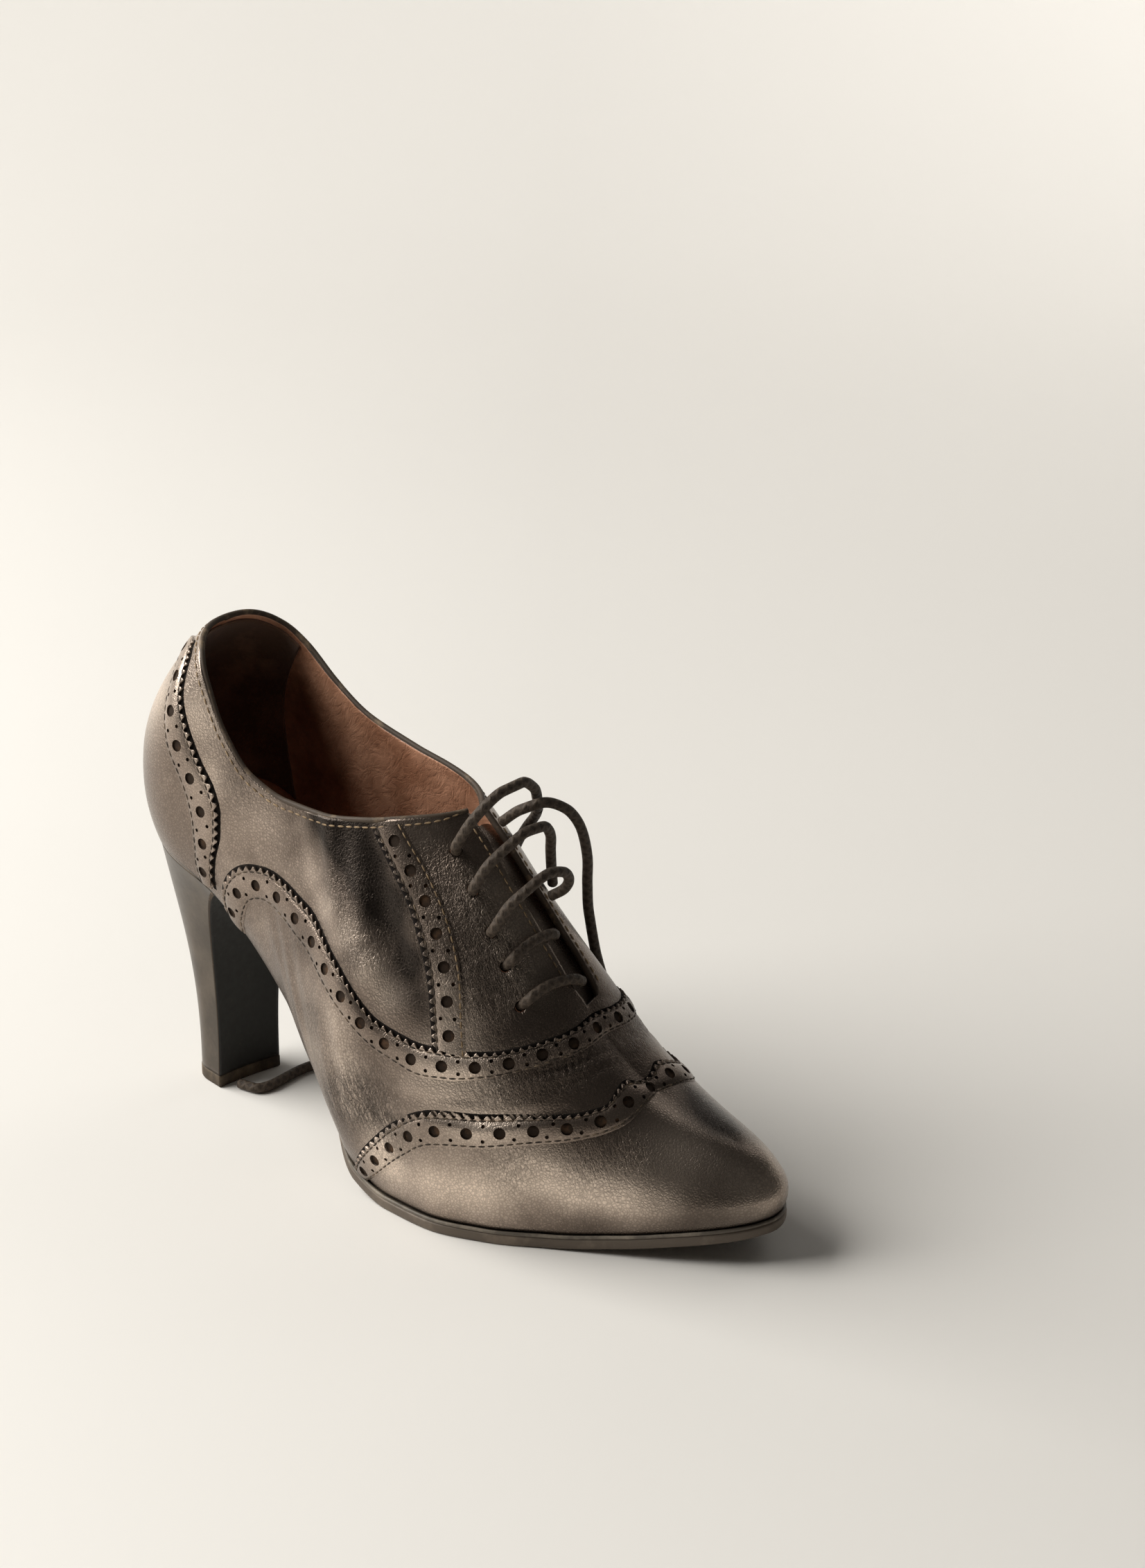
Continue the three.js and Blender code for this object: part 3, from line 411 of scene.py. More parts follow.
def smooth(x, low, high):
    t = np.clip((np.asarray(x, float) - low) / (high - low), 0, 1)
    return t * t * (3 - 2 * t)


def centre_at(x):
    return BALL_WIDTH * CENTRE(x / LENGTH)


def foot_at(x):
    return SEAT_HEIGHT * FOOT(x / LENGTH)


def travel(place):
    return SEAT_BACK + (LENGTH - SEAT_BACK) * (1 - np.cos(np.pi * place)) / 2


def place_at(x):
    return np.arccos(1 - 2 * (x - SEAT_BACK) / (LENGTH - SEAT_BACK)) / np.pi


def half_width(x, side):
    heel = np.clip(1 - (x - SEAT_BACK) / HEEL_ROUND, 0, 1)
    toe = np.clip(1 - (LENGTH - x) / TOE_ROUND, 0, 1)
    width = np.where(side < 0, LATERAL(x / LENGTH), MEDIAL(x / LENGTH))
    return BALL_WIDTH * width * np.sqrt(1 - heel**2.2) * np.sqrt(np.maximum(1 - toe**2, 0))


def folded(place):
    """Place carried back into 0 to 1, past the heel's back or the toe's tip."""
    return np.where(place < 0, -place, np.where(place > 1, 2 - place, place))


def past_end(place):
    return (place < 0) | (place > 1)


def girth_of(share, side):
    """Girth of a share up one side: the share itself, or counted back from 2 on the medial side."""
    return share if side < 0 else 2 - share


def last_points(place, girth):
    """Points of the last: place 0 to 1 from heel to toe, girth 0 at the lateral sole line, 1 at the
    ridge and 2 at the medial sole line."""
    place, girth = np.broadcast_arrays(np.asarray(place, float), np.asarray(girth, float))
    side = np.where(girth > 1, 1, -1)
    share = np.where(girth > 1, 2 - girth, girth)
    x = travel(place)
    foot_y = centre_at(x) + side * half_width(x, side)
    foot_z = foot_at(x)
    ridge_at = RIDGE_START + (RIDGE_END - RIDGE_START) * x / LENGTH
    ridge_y = BALL_WIDTH * CENTRE(ridge_at)
    ridge_z = INSTEP_HEIGHT * RIDGE(ridge_at)
    up = np.sin(share * np.pi / 2)
    square = np.where(side < 0, SQUARE_LATERAL(x / LENGTH), SQUARE_MEDIAL(x / LENGTH))
    inset = 1 - np.maximum(0, 1 - up**square) ** (1 / square)
    bulge = BALL_WIDTH * BULGE(x / LENGTH) * 6.75 * up * (1 - up) ** 2
    out_x = x - ridge_at * LENGTH
    out_y = foot_y - ridge_y
    reach = np.hypot(out_x, out_y) + 1e-9
    z = foot_z + (ridge_z - foot_z) * up
    px = x - out_x * inset + out_x / reach * bulge
    py = foot_y - out_y * inset + out_y / reach * bulge
    rise = np.clip((z - LEAN_FROM) / (LEAN_FULL - LEAN_FROM), 0, 1.6)
    px = px + COLLAR_LEAN * rise**2 * np.clip(1 - px / LEAN_REACH, 0, 1)
    return np.stack([px, py, z], -1)


def last_normals(place, girth):
    place, girth = np.broadcast_arrays(np.asarray(place, float), np.asarray(girth, float))
    h = 1e-3

    def wrapped(p, g):
        return last_points(folded(p), np.where(past_end(p), 2 - g, g))

    along = wrapped(place + h, girth) - wrapped(place - h, girth)
    around = last_points(place, np.minimum(girth + h, 2)) - last_points(place, np.maximum(girth - h, 0))
    normal = np.cross(along, around)
    return normal / (np.linalg.norm(normal, axis=-1, keepdims=True) + 1e-12)


def offset_points(place, girth, offset):
    place, girth = np.broadcast_arrays(np.asarray(place, float), np.asarray(girth, float))
    shared = (place <= 0) | (place >= 1)
    girth = np.where(shared & (girth > 1), 2 - girth, girth)
    return last_points(place, girth) + last_normals(place, girth) * np.asarray(offset)[..., None]


def throat_centre(x):
    return centre_at(x) + THROAT_SHIFT


def throat_distance(points):
    """Plan distance outside the throat's slot."""
    half = THROAT_GAP / 2
    end = THROAT_END * LENGTH - half
    x = points[..., 0]
    y = points[..., 1] - throat_centre(x)
    flat = np.abs(y) - half
    round_end = np.hypot(x - end, y) - half
    distance = np.where(x < end, flat, round_end)
    return np.where(x < 0.45 * LENGTH, 99.0, distance)


def top_girth(place, side):
    """Girth share, from the sole up one side, where the leather ends: topline, facing edge or ridge."""
    place = np.asarray(place, float)
    low = np.zeros_like(place)
    high = np.ones_like(place)

    def inside(share):
        points = last_points(place, girth_of(share, side))
        height = COLLAR_HEIGHT * TOPLINE[side](points[..., 0] / LENGTH)
        past = np.maximum(points[..., 0] - FACING_TOP[side] * LENGTH, 0)
        below = points[..., 2] < height + past * FACING_RISE
        return below & (throat_distance(points) > 0)

    found = np.zeros(place.shape, bool)
    for share in np.linspace(0, 1, 401)[1:]:
        out = ~inside(np.full_like(place, share)) & ~found
        low = np.where(out, share - 1 / 400, low)
        high = np.where(out, share, high)
        found |= out
    for _ in range(24):
        middle = (low + high) / 2
        ok = inside(middle)
        low = np.where(ok, middle, low)
        high = np.where(ok, high, middle)
    return np.where(found, low, 1.0)


def facing_corner(side):
    """Place where the topline turns down into the facing's front edge."""
    place = np.linspace(0.44, 0.60, 321)
    top = top_girth(place, side)
    points = last_points(place, girth_of(top, side))
    return float(place[np.argmax(np.abs(throat_distance(points)) < 0.05)])


def metres(points):
    return (np.asarray(points, float) + LAST_ORIGIN) / 1000


def select_only(obj):
    for other in bpy.context.view_layer.objects:
        other.select_set(False)
    obj.select_set(True)
    bpy.context.view_layer.objects.active = obj


def vertex_points(obj):
    """The mesh's own points, in metres."""
    flat = np.empty(3 * len(obj.data.vertices))
    obj.data.vertices.foreach_get("co", flat)
    return flat.reshape(-1, 3)


def on_the_last(obj):
    """The mesh's points in millimetres, in the last's frame."""
    return vertex_points(obj) * 1000 - LAST_ORIGIN


def shaped_grid(name, columns, rows, place_points, closed=False, toward=None):
    """A primitive grid whose vertices are laid on a surface. place_points takes u and v from 0 to 1."""
    bpy.ops.mesh.primitive_grid_add(x_subdivisions=columns, y_subdivisions=rows, size=1)
    obj = bpy.context.active_object
    obj.name = name
    mesh = obj.data
    mesh.name = name
    flat = vertex_points(obj)
    u = np.round((flat[:, 0] + 0.5) * columns) / columns
    v = np.round((flat[:, 1] + 0.5) * rows) / rows
    points = metres(place_points(u, v))
    mesh.vertices.foreach_set("co", points.ravel())
    obj.location = (0, 0, 0)
    mesh.update()
    select_only(obj)
    bpy.ops.object.mode_set(mode="EDIT")
    bpy.ops.mesh.select_all(action="SELECT")
    bpy.ops.mesh.remove_doubles(threshold=1e-6)
    if closed:
        bpy.ops.mesh.select_all(action="DESELECT")
        bpy.ops.mesh.select_non_manifold(extend=False, use_wire=False, use_multi_face=False,
                                         use_non_contiguous=False, use_verts=False)
        bpy.ops.mesh.fill_holes(sides=0)
        bpy.ops.mesh.select_all(action="SELECT")
        bpy.ops.mesh.normals_make_consistent(inside=False)
    bpy.ops.object.mode_set(mode="OBJECT")
    if toward is not None:
        face_outward(obj, toward)
    bpy.ops.object.shade_smooth()
    return obj


def face_outward(obj, toward):
    """Turns an open sheet round if most of its faces look away from the direction function."""
    score = 0.0
    for polygon in list(obj.data.polygons)[:: max(1, len(obj.data.polygons) // 400)]:
        score += polygon.normal.dot(toward(polygon.center))
    if score < 0:
        select_only(obj)
        bpy.ops.object.mode_set(mode="EDIT")
        bpy.ops.mesh.select_all(action="SELECT")
        bpy.ops.mesh.flip_normals()
        bpy.ops.object.mode_set(mode="OBJECT")


def away_from(x, y, z):
    middle = Vector(metres([x, y, z]))
    return lambda point: point - middle


def apply_modifier(obj, kind, **values):
    select_only(obj)
    modifier = obj.modifiers.new(kind.title(), kind)
    for key, value in values.items():
        setattr(modifier, key, value)
    bpy.ops.object.modifier_apply(modifier=modifier.name)


def cut_with(obj, cutter):
    apply_modifier(obj, "BOOLEAN", operation="DIFFERENCE", object=cutter, solver="MANIFOLD")
    bpy.data.objects.remove(cutter, do_unlink=True)


def joined_copies(name, model, frames):
    """Copies of a small closed model, one for each 4 by 4 frame, in one mesh."""
    co = vertex_points(model)
    co = np.c_[co, np.ones(len(co))]
    faces = [list(p.vertices) for p in model.data.polygons]
    frames = np.asarray(frames, float)
    points = np.einsum("nij,vj->nvi", frames, co)[..., :3].reshape(-1, 3)
    count = len(co)
    mesh = bpy.data.meshes.new(name)
    copied = [[i + k * count for i in face] for k in range(len(frames)) for face in faces]
    mesh.from_pydata(points.tolist(), [], copied)
    mesh.shade_smooth()
    obj = bpy.data.objects.new(name, mesh)
    bpy.context.scene.collection.objects.link(obj)
    bpy.data.objects.remove(model, do_unlink=True)
    return obj


def frames_from(points, along, normals, size):
    """Frames with x along a line, z out of the surface, scaled by size in millimetres on each axis."""
    points = metres(points)
    x = along / (np.linalg.norm(along, axis=-1, keepdims=True) + 1e-12)
    z = normals - x * np.sum(normals * x, -1, keepdims=True)
    z = z / (np.linalg.norm(z, axis=-1, keepdims=True) + 1e-12)
    y = np.cross(z, x)
    frames = np.zeros((len(points), 4, 4))
    sizes = np.asarray(size, float) / 1000
    sizes = np.broadcast_to(sizes, (len(points), 3))
    frames[:, :3, 0] = x * sizes[:, 0:1]
    frames[:, :3, 1] = y * sizes[:, 1:2]
    frames[:, :3, 2] = z * sizes[:, 2:3]
    frames[:, :3, 3] = points
    frames[:, 3, 3] = 1
    return frames


def line_length(points):
    return np.r_[0, np.cumsum(np.linalg.norm(np.diff(points, axis=0), axis=1))]


def evenly(points, values, spacing=None, count=None, start=0.0):
    """Values along a line of points at even distances."""
    run = line_length(points)
    if count is None:
        count = max(2, int((run[-1] - start) / spacing) + 1)
        at = start + spacing * np.arange(count)
        at = at[at <= run[-1]]
    else:
        at = np.linspace(start, run[-1], count)
    values = np.asarray(values, float)
    return np.stack([np.interp(at, run, values[:, k]) for k in range(values.shape[1])], -1)


def surface_line(rows, step):
    """A fine line on the last through (place, girth) rows."""
    rows = np.asarray(rows, float)
    t = np.linspace(0, 1, len(rows))
    fine = np.linspace(0, 1, step)
    return np.stack([monotone(t, rows[:, 0])(fine), monotone(t, rows[:, 1])(fine)], -1)


def capsule():
    """A unit stitch: one long, one wide, with rounded ends."""
    bpy.ops.mesh.primitive_uv_sphere_add(segments=6, ring_count=6, radius=0.5)
    obj = bpy.context.active_object
    select_only(obj)
    bpy.ops.object.mode_set(mode="EDIT")
    bpy.ops.mesh.select_all(action="SELECT")
    bpy.ops.transform.rotate(value=math.pi / 2, orient_axis="Y", center_override=(0, 0, 0))
    bpy.ops.object.mode_set(mode="OBJECT")
    obj.location = (0, 0, 0)
    return obj


def crease_relief(points):
    """Displacement in millimetres from the creases, at points of the last."""
    relief = np.zeros(len(points))
    for depth, width, rows in CREASES:
        pg = surface_line(rows, 60)
        line = last_points(pg[:, 0], pg[:, 1])
        reach = 4 * width
        near = np.all((points > line.min(0) - reach) & (points < line.max(0) + reach), axis=1)
        index = np.flatnonzero(near)
        if not len(index):
            continue
        gap = np.linalg.norm(points[index, None, :] - line[None, :, :], axis=2)
        distance = gap.min(1)
        along = gap.argmin(1) / (len(line) - 1)
        fade = np.sin(np.pi * np.clip(along, 0.04, 0.96)) ** 0.5
        trough = np.exp(-((distance / width) ** 2))
        ridge = np.exp(-(((distance - 1.9 * width) / (1.1 * width)) ** 2))
        relief[index] += depth * fade * (0.55 * ridge - trough)
    return relief


class Nodes:
    """Adds and links shader nodes in one tree."""

    def __init__(self, tree):
        self.tree = tree

    def add(self, kind, inputs=None, **settings):
        node = self.tree.nodes.new(kind)
        for key, value in settings.items():
            setattr(node, key, value)
        for key, value in (inputs or {}).items():
            socket = node.inputs[key]
            if isinstance(value, bpy.types.NodeSocket):
                self.tree.links.new(value, socket)
            else:
                socket.default_value = value
        return node

    def math(self, operation, a, b=0.0, clamp=False):
        return self.add("ShaderNodeMath", {0: a, 1: b}, operation=operation, use_clamp=clamp).outputs[0]

    def ramp(self, value, low, high):
        return self.add(
            "ShaderNodeMapRange", {"Value": value, "From Min": low, "From Max": high}, clamp=True
        ).outputs["Result"]

    def mix(self, factor, a, b):
        node = self.add("ShaderNodeMix", data_type="RGBA")
        for key, value in ((0, factor), (6, a), (7, b)):
            if isinstance(value, bpy.types.NodeSocket):
                self.tree.links.new(value, node.inputs[key])
            else:
                node.inputs[key].default_value = value if key == 0 else (*value, 1)[:4]
        return node.outputs[2]

    def noise(self, vector, scale, detail=3.0, rough=0.5, distortion=0.0):
        return self.add(
            "ShaderNodeTexNoise",
            {"Vector": vector, "Scale": scale, "Detail": detail, "Roughness": rough,
             "Distortion": distortion},
        ).outputs["Fac"]

    def stretched(self, vector, turn, scale, **settings):
        inputs = {"Vector": vector, "Rotation": turn, "Scale": scale}
        return self.add("ShaderNodeMapping", inputs, **settings).outputs[0]

    def vector(self, operation, a, b, output=0):
        return self.add("ShaderNodeVectorMath", {0: a, 1: b}, operation=operation).outputs[output]

    def cells(self, vector, scale):
        """Distance to the nearest edge between rounded cells."""
        inputs = {"Vector": vector, "Scale": scale}
        return self.add("ShaderNodeTexVoronoi", inputs, feature="DISTANCE_TO_EDGE").outputs["Distance"]

    def warped(self, vector, scale, detail, reach):
        """The vector swayed by a soft noise, over a reach in metres."""
        inputs = {"Vector": vector, "Scale": scale, "Detail": detail}
        sway = self.add("ShaderNodeTexNoise", inputs).outputs["Color"]
        sway = self.vector("SUBTRACT", sway, (0.5, 0.5, 0.5))
        small = self.add("ShaderNodeVectorMath", {0: sway, "Scale": reach}, operation="SCALE").outputs[0]
        return self.vector("ADD", vector, small)


def new_group(name, inputs, outputs, build):
    """A shader node group with named sockets: (name, type, default) in, (name, type) out."""
    tree = bpy.data.node_groups.new(name, "ShaderNodeTree")
    for label, kind, default in inputs:
        socket = tree.interface.new_socket(name=label, in_out="INPUT", socket_type=kind)
        socket.default_value = default
    for label, kind in outputs:
        tree.interface.new_socket(name=label, in_out="OUTPUT", socket_type=kind)
    nodes = Nodes(tree)
    start = nodes.add("NodeGroupInput")
    end = nodes.add("NodeGroupOutput")
    for label, socket in build(nodes, start.outputs).items():
        tree.links.new(socket, end.inputs[label])
    return tree


def build_grain(n, sockets):
    """Pebbled leather grain: rounded cells with fine pores between."""
    vector = sockets["Vector"]
    cells = n.cells(n.warped(vector, 260.0, 2.0, 0.0012), sockets["Scale"])
    pebble = n.ramp(cells, 0.0, 0.28)
    fine = n.noise(vector, 2600.0, 2.0, 0.6)
    height = n.math("ADD", n.math("MULTIPLY", pebble, 0.8), n.math("MULTIPLY", fine, 0.35))
    pores = n.math("SUBTRACT", 1.0, pebble)
    return {"Height": height, "Pores": pores}


def build_wear(n, sockets):
    """Rubbed patches: soft clouds broken by fine specks."""
    vector = sockets["Vector"]
    clouds = n.noise(vector, sockets["Scale"], 5.0, 0.62)
    specks = n.noise(vector, 900.0, 3.0, 0.7)
    mixed = n.math("ADD", clouds, n.math("MULTIPLY", n.math("SUBTRACT", specks, 0.5), 0.07))
    low = n.math("SUBTRACT", 0.72, sockets["Amount"])
    high = n.math("ADD", low, 0.24)
    return {"Mask": n.ramp(mixed, low, high)}


def build_folds(n, sockets):
    """A crackle of fine folds, longer than wide, whose run wanders over the surface."""
    moved = n.warped(sockets["Vector"], 95.0, 3.0, 0.0060)
    turned = n.stretched(moved, (0.35, 0.25, -0.30), (1.0, 1.0, 0.26))
    inputs = {"Value": n.cells(turned, 880.0), "From Min": 0.0, "From Max": 0.16}
    broad = n.add("ShaderNodeMapRange", inputs, interpolation_type="SMOOTHSTEP").outputs["Result"]
    fine = n.ramp(n.cells(moved, 1300.0), 0.0, 0.12)
    return {"Height": n.math("ADD", n.math("MULTIPLY", broad, 0.7), n.math("MULTIPLY", fine, 0.3))}


def build_wrinkles(n, sockets):
    """Fine wrinkles that run along the mapped X axis."""
    vector = n.vector("MULTIPLY", sockets["Vector"], (0.22, 1.0, 1.0))
    broad = n.noise(vector, 190.0, 4.0, 0.6, 0.6)
    fine = n.noise(vector, 620.0, 3.0, 0.6, 0.4)
    folds = n.math("ABSOLUTE", n.math("SUBTRACT", broad, 0.5))
    lines = n.ramp(folds, 0.0, 0.09)
    return {"Height": n.math("ADD", n.math("MULTIPLY", lines, 0.7), n.math("MULTIPLY", fine, 0.5))}


GROUPS = {}


def make_groups():
    vector = ("Vector", "NodeSocketVector", (0, 0, 0))
    height = ("Height", "NodeSocketFloat")
    GROUPS["grain"] = new_group(
        "leather grain", [vector, ("Scale", "NodeSocketFloat", 1400.0)],
        [height, ("Pores", "NodeSocketFloat")], build_grain)
    GROUPS["wear"] = new_group(
        "rubbed wear", [vector, ("Scale", "NodeSocketFloat", 40.0), ("Amount", "NodeSocketFloat", 0.2)],
        [("Mask", "NodeSocketFloat")], build_wear)
    GROUPS["folds"] = new_group("crackle of folds", [vector], [height], build_folds)
    GROUPS["wrinkles"] = new_group("fine wrinkles", [vector], [height], build_wrinkles)


def use_group(n, key, **values):
    return n.add("ShaderNodeGroup", values, node_tree=GROUPS[key])


def new_material(name, paint, **constants):
    """A Principled material. paint gets the nodes and the object coordinates, and gives sockets for the
    shader's inputs.
    """
    material = bpy.data.materials.new(name)
    material.use_nodes = True
    n = Nodes(material.node_tree)
    shader = material.node_tree.nodes["Principled BSDF"]
    for key, value in constants.items():
        shader.inputs[key.replace("_", " ")].default_value = value
    where = n.add("ShaderNodeTexCoord").outputs["Object"]
    for key, socket in paint(n, where).items():
        material.node_tree.links.new(socket, shader.inputs[key])
    return material


def bump(n, *layers):
    """Stacked bumps: (height socket, distance in metres, strength)."""
    normal = None
    for height, distance, strength in layers:
        inputs = {"Height": height, "Distance": distance, "Strength": strength}
        if normal is not None:
            inputs["Normal"] = normal
        normal = n.add("ShaderNodeBump", inputs).outputs["Normal"]
    return normal


def toned(colour, factor):
    return tuple(min(c * factor, 1.0) for c in colour)


def paint_leather(dark, worn, grain_scale, grain_strength, rough):
    """Leather with rubbed tones and painted highlights, painted shade and a crackle of fine folds where the
    piece's own attributes say.
    """
    def paint(n, where):
        rubbed, creased, waxed = (
            n.add("ShaderNodeAttribute", attribute_name=mark).outputs["Fac"]
            for mark in ("rubbed", "creased", "waxed")
        )
        grain = use_group(n, "grain", Vector=where, Scale=grain_scale)
        wear = use_group(n, "wear", Vector=where, Scale=30.0, Amount=0.20).outputs["Mask"]
        spots = use_group(n, "wear", Vector=where, Scale=130.0, Amount=0.08).outputs["Mask"]
        folds = use_group(n, "folds", Vector=where).outputs["Height"]
        turned = n.stretched(where, FACING_RUN, (0.50, 0.23, 0.23), vector_type="TEXTURE")
        run = use_group(n, "wrinkles", Vector=turned).outputs["Height"]
        patches = n.ramp(n.noise(where, 38.0, 3.0, 0.6), 0.38, 0.62)
        depth = n.math("ADD", n.math("MULTIPLY", patches, 0.22), creased)
        depth = n.math("MULTIPLY", depth, 0.75, clamp=True)
        # Rubbed wear and painted highlight: the colour lightens towards the rubbed tone at random wear
        # clouds and at the marked spots.
        light = n.math("ADD", n.math("MULTIPLY", wear, 0.24), n.math("MULTIPLY", rubbed, 0.80), clamp=True)
        colour = n.mix(light, dark, worn)
        colour = n.mix(n.math("MULTIPLY", spots, 0.08), colour, toned(worn, 1.05))
        # Painted shade: the colour darkens towards near-black at the marked spots.
        colour = n.mix(n.math("MULTIPLY", waxed, 1.06, clamp=True), colour, toned(dark, 0.13))
        lines = n.math("MULTIPLY", n.math("SUBTRACT", 1.0, run), creased, clamp=True)
        cracks = n.math("MULTIPLY", n.math("SUBTRACT", 1.0, folds), depth)
        cracks = n.math("MAXIMUM", cracks, lines)
        pores = n.math("MULTIPLY", grain.outputs["Pores"], 0.35)
        # The colour darkens in the crack and fold lines and in the grain's pores.
        darker_in_folds = n.math("ADD", n.math("MULTIPLY", cracks, 0.85), pores, clamp=True)
        colour = n.mix(darker_in_folds, colour, toned(dark, 0.22))
        roughness = n.math("ADD", rough, n.math("MULTIPLY", light, 0.05))
        roughness = n.math("ADD", roughness, n.math("MULTIPLY", darker_in_folds, 0.22))
        raised = n.math("SUBTRACT", n.math("MULTIPLY", folds, depth), n.math("MULTIPLY", lines, 0.95))
        normal = bump(n, (raised, 0.00024, 0.75), (grain.outputs["Height"], 0.00010, grain_strength))
        return {"Base Color": colour, "Roughness": roughness, "Normal": normal}

    return paint


def paint_plain(dark, light, cloud_scale, cloud_amount, rough, rough_swing, bump_scale, bump_depth):
    def paint(n, where):
        wear = use_group(n, "wear", Vector=where, Scale=cloud_scale, Amount=cloud_amount).outputs["Mask"]
        fine = n.noise(where, bump_scale, 4.0, 0.6)
        colour = n.mix(wear, dark, light)
        roughness = n.math("ADD", rough, n.math("MULTIPLY", fine, rough_swing))
        return {"Base Color": colour, "Roughness": roughness, "Normal": bump(n, (fine, bump_depth, 0.5))}

    return paint


def paint_lining(dark, light, grain_scale):
    def paint(n, where):
        grain = use_group(n, "grain", Vector=where, Scale=grain_scale)
        clouds = n.noise(where, 45.0, 4.0, 0.6)
        turned = n.stretched(where, (0.3, 0.5, 0.9), (1, 1, 1))
        folds = use_group(n, "wrinkles", Vector=turned).outputs["Height"]
        colour = n.mix(n.ramp(clouds, 0.35, 0.7), dark, light)
        roughness = n.math("ADD", 0.34, n.math("MULTIPLY", clouds, 0.22))
        normal = bump(n, (folds, 0.0004, 0.35), (grain.outputs["Height"], 0.00008, 0.35))
        return {"Base Color": colour, "Roughness": roughness, "Normal": normal}

    return paint


def paint_lace(n, where):
    """Waxed braid: slanted strands crossing along the piece's own UV map, with loose fibres."""
    uv = n.add("ShaderNodeTexCoord").outputs["UV"]
    split = n.add("ShaderNodeSeparateXYZ", {"Vector": uv})
    sway = n.math("MULTIPLY", n.noise(where, 420.0, 2.0, 0.6), 0.5)
    run = n.math("ADD", split.outputs["X"], sway)
    around = n.math("MULTIPLY", split.outputs["Y"], 3.0)
    one = n.math("SINE", n.math("MULTIPLY", n.math("ADD", run, around), 6.28318))
    two = n.math("SINE", n.math("MULTIPLY", n.math("SUBTRACT", run, around), 6.28318))
    braid = n.math("MAXIMUM", one, n.math("MULTIPLY", two, 0.8))
    height = n.ramp(braid, -0.4, 1.0)
    fibres = n.noise(n.stretched(uv, (0, 0, 0.6), (9.0, 40.0, 1.0)), 1.0, 3.0, 0.7)
    fuzz = n.noise(where, 2300.0, 3.0, 0.7)
    colour = n.mix(height, (0.032, 0.023, 0.017), (0.072, 0.054, 0.040))
    colour = n.mix(n.math("MULTIPLY", n.ramp(fibres, 0.45, 0.8), 0.7), colour, (0.150, 0.112, 0.081))
    normal = bump(n, (height, 0.00024, 0.8), (fibres, 0.00012, 0.7), (fuzz, 0.00008, 0.6))
    roughness = n.math("ADD", 0.5, n.math("MULTIPLY", fuzz, 0.25))
    return {"Base Color": colour, "Roughness": roughness, "Normal": normal}


# Plain materials: name, darker and lighter tone, scale and amount of the lighter clouds, roughness
# and its swing, scale and depth of the fine bump, and the shader's own constants.
PLAIN = {
    "edge": ("raw tan edge", (0.045, 0.028, 0.016), (0.26, 0.165, 0.090),
             160.0, 0.16, 0.6, 0.2, 900.0, 0.0001, {}),
    "suede": ("heel grip suede", (0.12, 0.060, 0.032), (0.28, 0.15, 0.085),
              60.0, 0.25, 0.85, 0.1, 1600.0, 0.0002, {"Sheen_Weight": 0.3, "Sheen_Roughness": 0.5}),
    "sock": ("worn sock lining", (0.10, 0.055, 0.030), (0.24, 0.15, 0.09),
             35.0, 0.2, 0.42, 0.2, 700.0, 0.0001, {}),
    "binding": ("rolled edge binding", (0.070, 0.052, 0.038), (0.30, 0.215, 0.135),
                150.0, 0.18, 0.46, 0.2, 800.0, 0.0001, {"Specular_IOR_Level": 0.2}),
    "sole": ("dark sole rubber", (0.115, 0.090, 0.068), (0.25, 0.195, 0.145),
             60.0, 0.2, 0.38, 0.3, 600.0, 0.00012, {"Metallic": 0.3}),
    "rim": ("sole rim", (0.10, 0.082, 0.062), (0.30, 0.25, 0.19),
            90.0, 0.25, 0.42, 0.2, 700.0, 0.0001, {}),
    "heel": ("heel cover", (0.060, 0.046, 0.033), (0.145, 0.113, 0.082),
             26.0, 0.2, 0.28, 0.14, 420.0, 0.00006,
             {"Metallic": 0.60, "Coat_Weight": 0.10, "Coat_Roughness": 0.2}),
    "breast": ("heel breast", (0.006, 0.005, 0.003), (0.050, 0.038, 0.026),
               260.0, 0.08, 0.45, 0.3, 500.0, 0.0001, {}),
    "tip": ("top lift rubber", (0.050, 0.034, 0.020), (0.16, 0.115, 0.070),
            110.0, 0.25, 0.6, 0.3, 600.0, 0.00015, {}),
    "gold": ("gold thread", (0.17, 0.11, 0.055), (0.36, 0.25, 0.14),
             300.0, 0.3, 0.6, 0.2, 2200.0, 0.00005, {}),
    "thread": ("dark thread", (0.035, 0.026, 0.019), (0.24, 0.175, 0.115),
               260.0, 0.24, 0.62, 0.2, 2200.0, 0.00005, {"Specular_IOR_Level": 0.25}),
    # Painted shadow: a near-black matte sheet laid under the pinked edges.
    "wax": ("dark edge wax", (0.008, 0.006, 0.005), (0.045, 0.034, 0.026),
            420.0, 0.15, 0.8, 0.2, 900.0, 0.0001, {"Specular_IOR_Level": 0.1}),
    "backing": ("brown hole backing", (0.026, 0.016, 0.010), (0.125, 0.066, 0.034),
                170.0, 0.20, 0.6, 0.2, 900.0, 0.0001, {"Specular_IOR_Level": 0.15}),
}
# The lining's darker tone, as shares of its lighter one.
LINING_SHADE = (0.44, 0.38, 0.34)
MATERIALS = {}


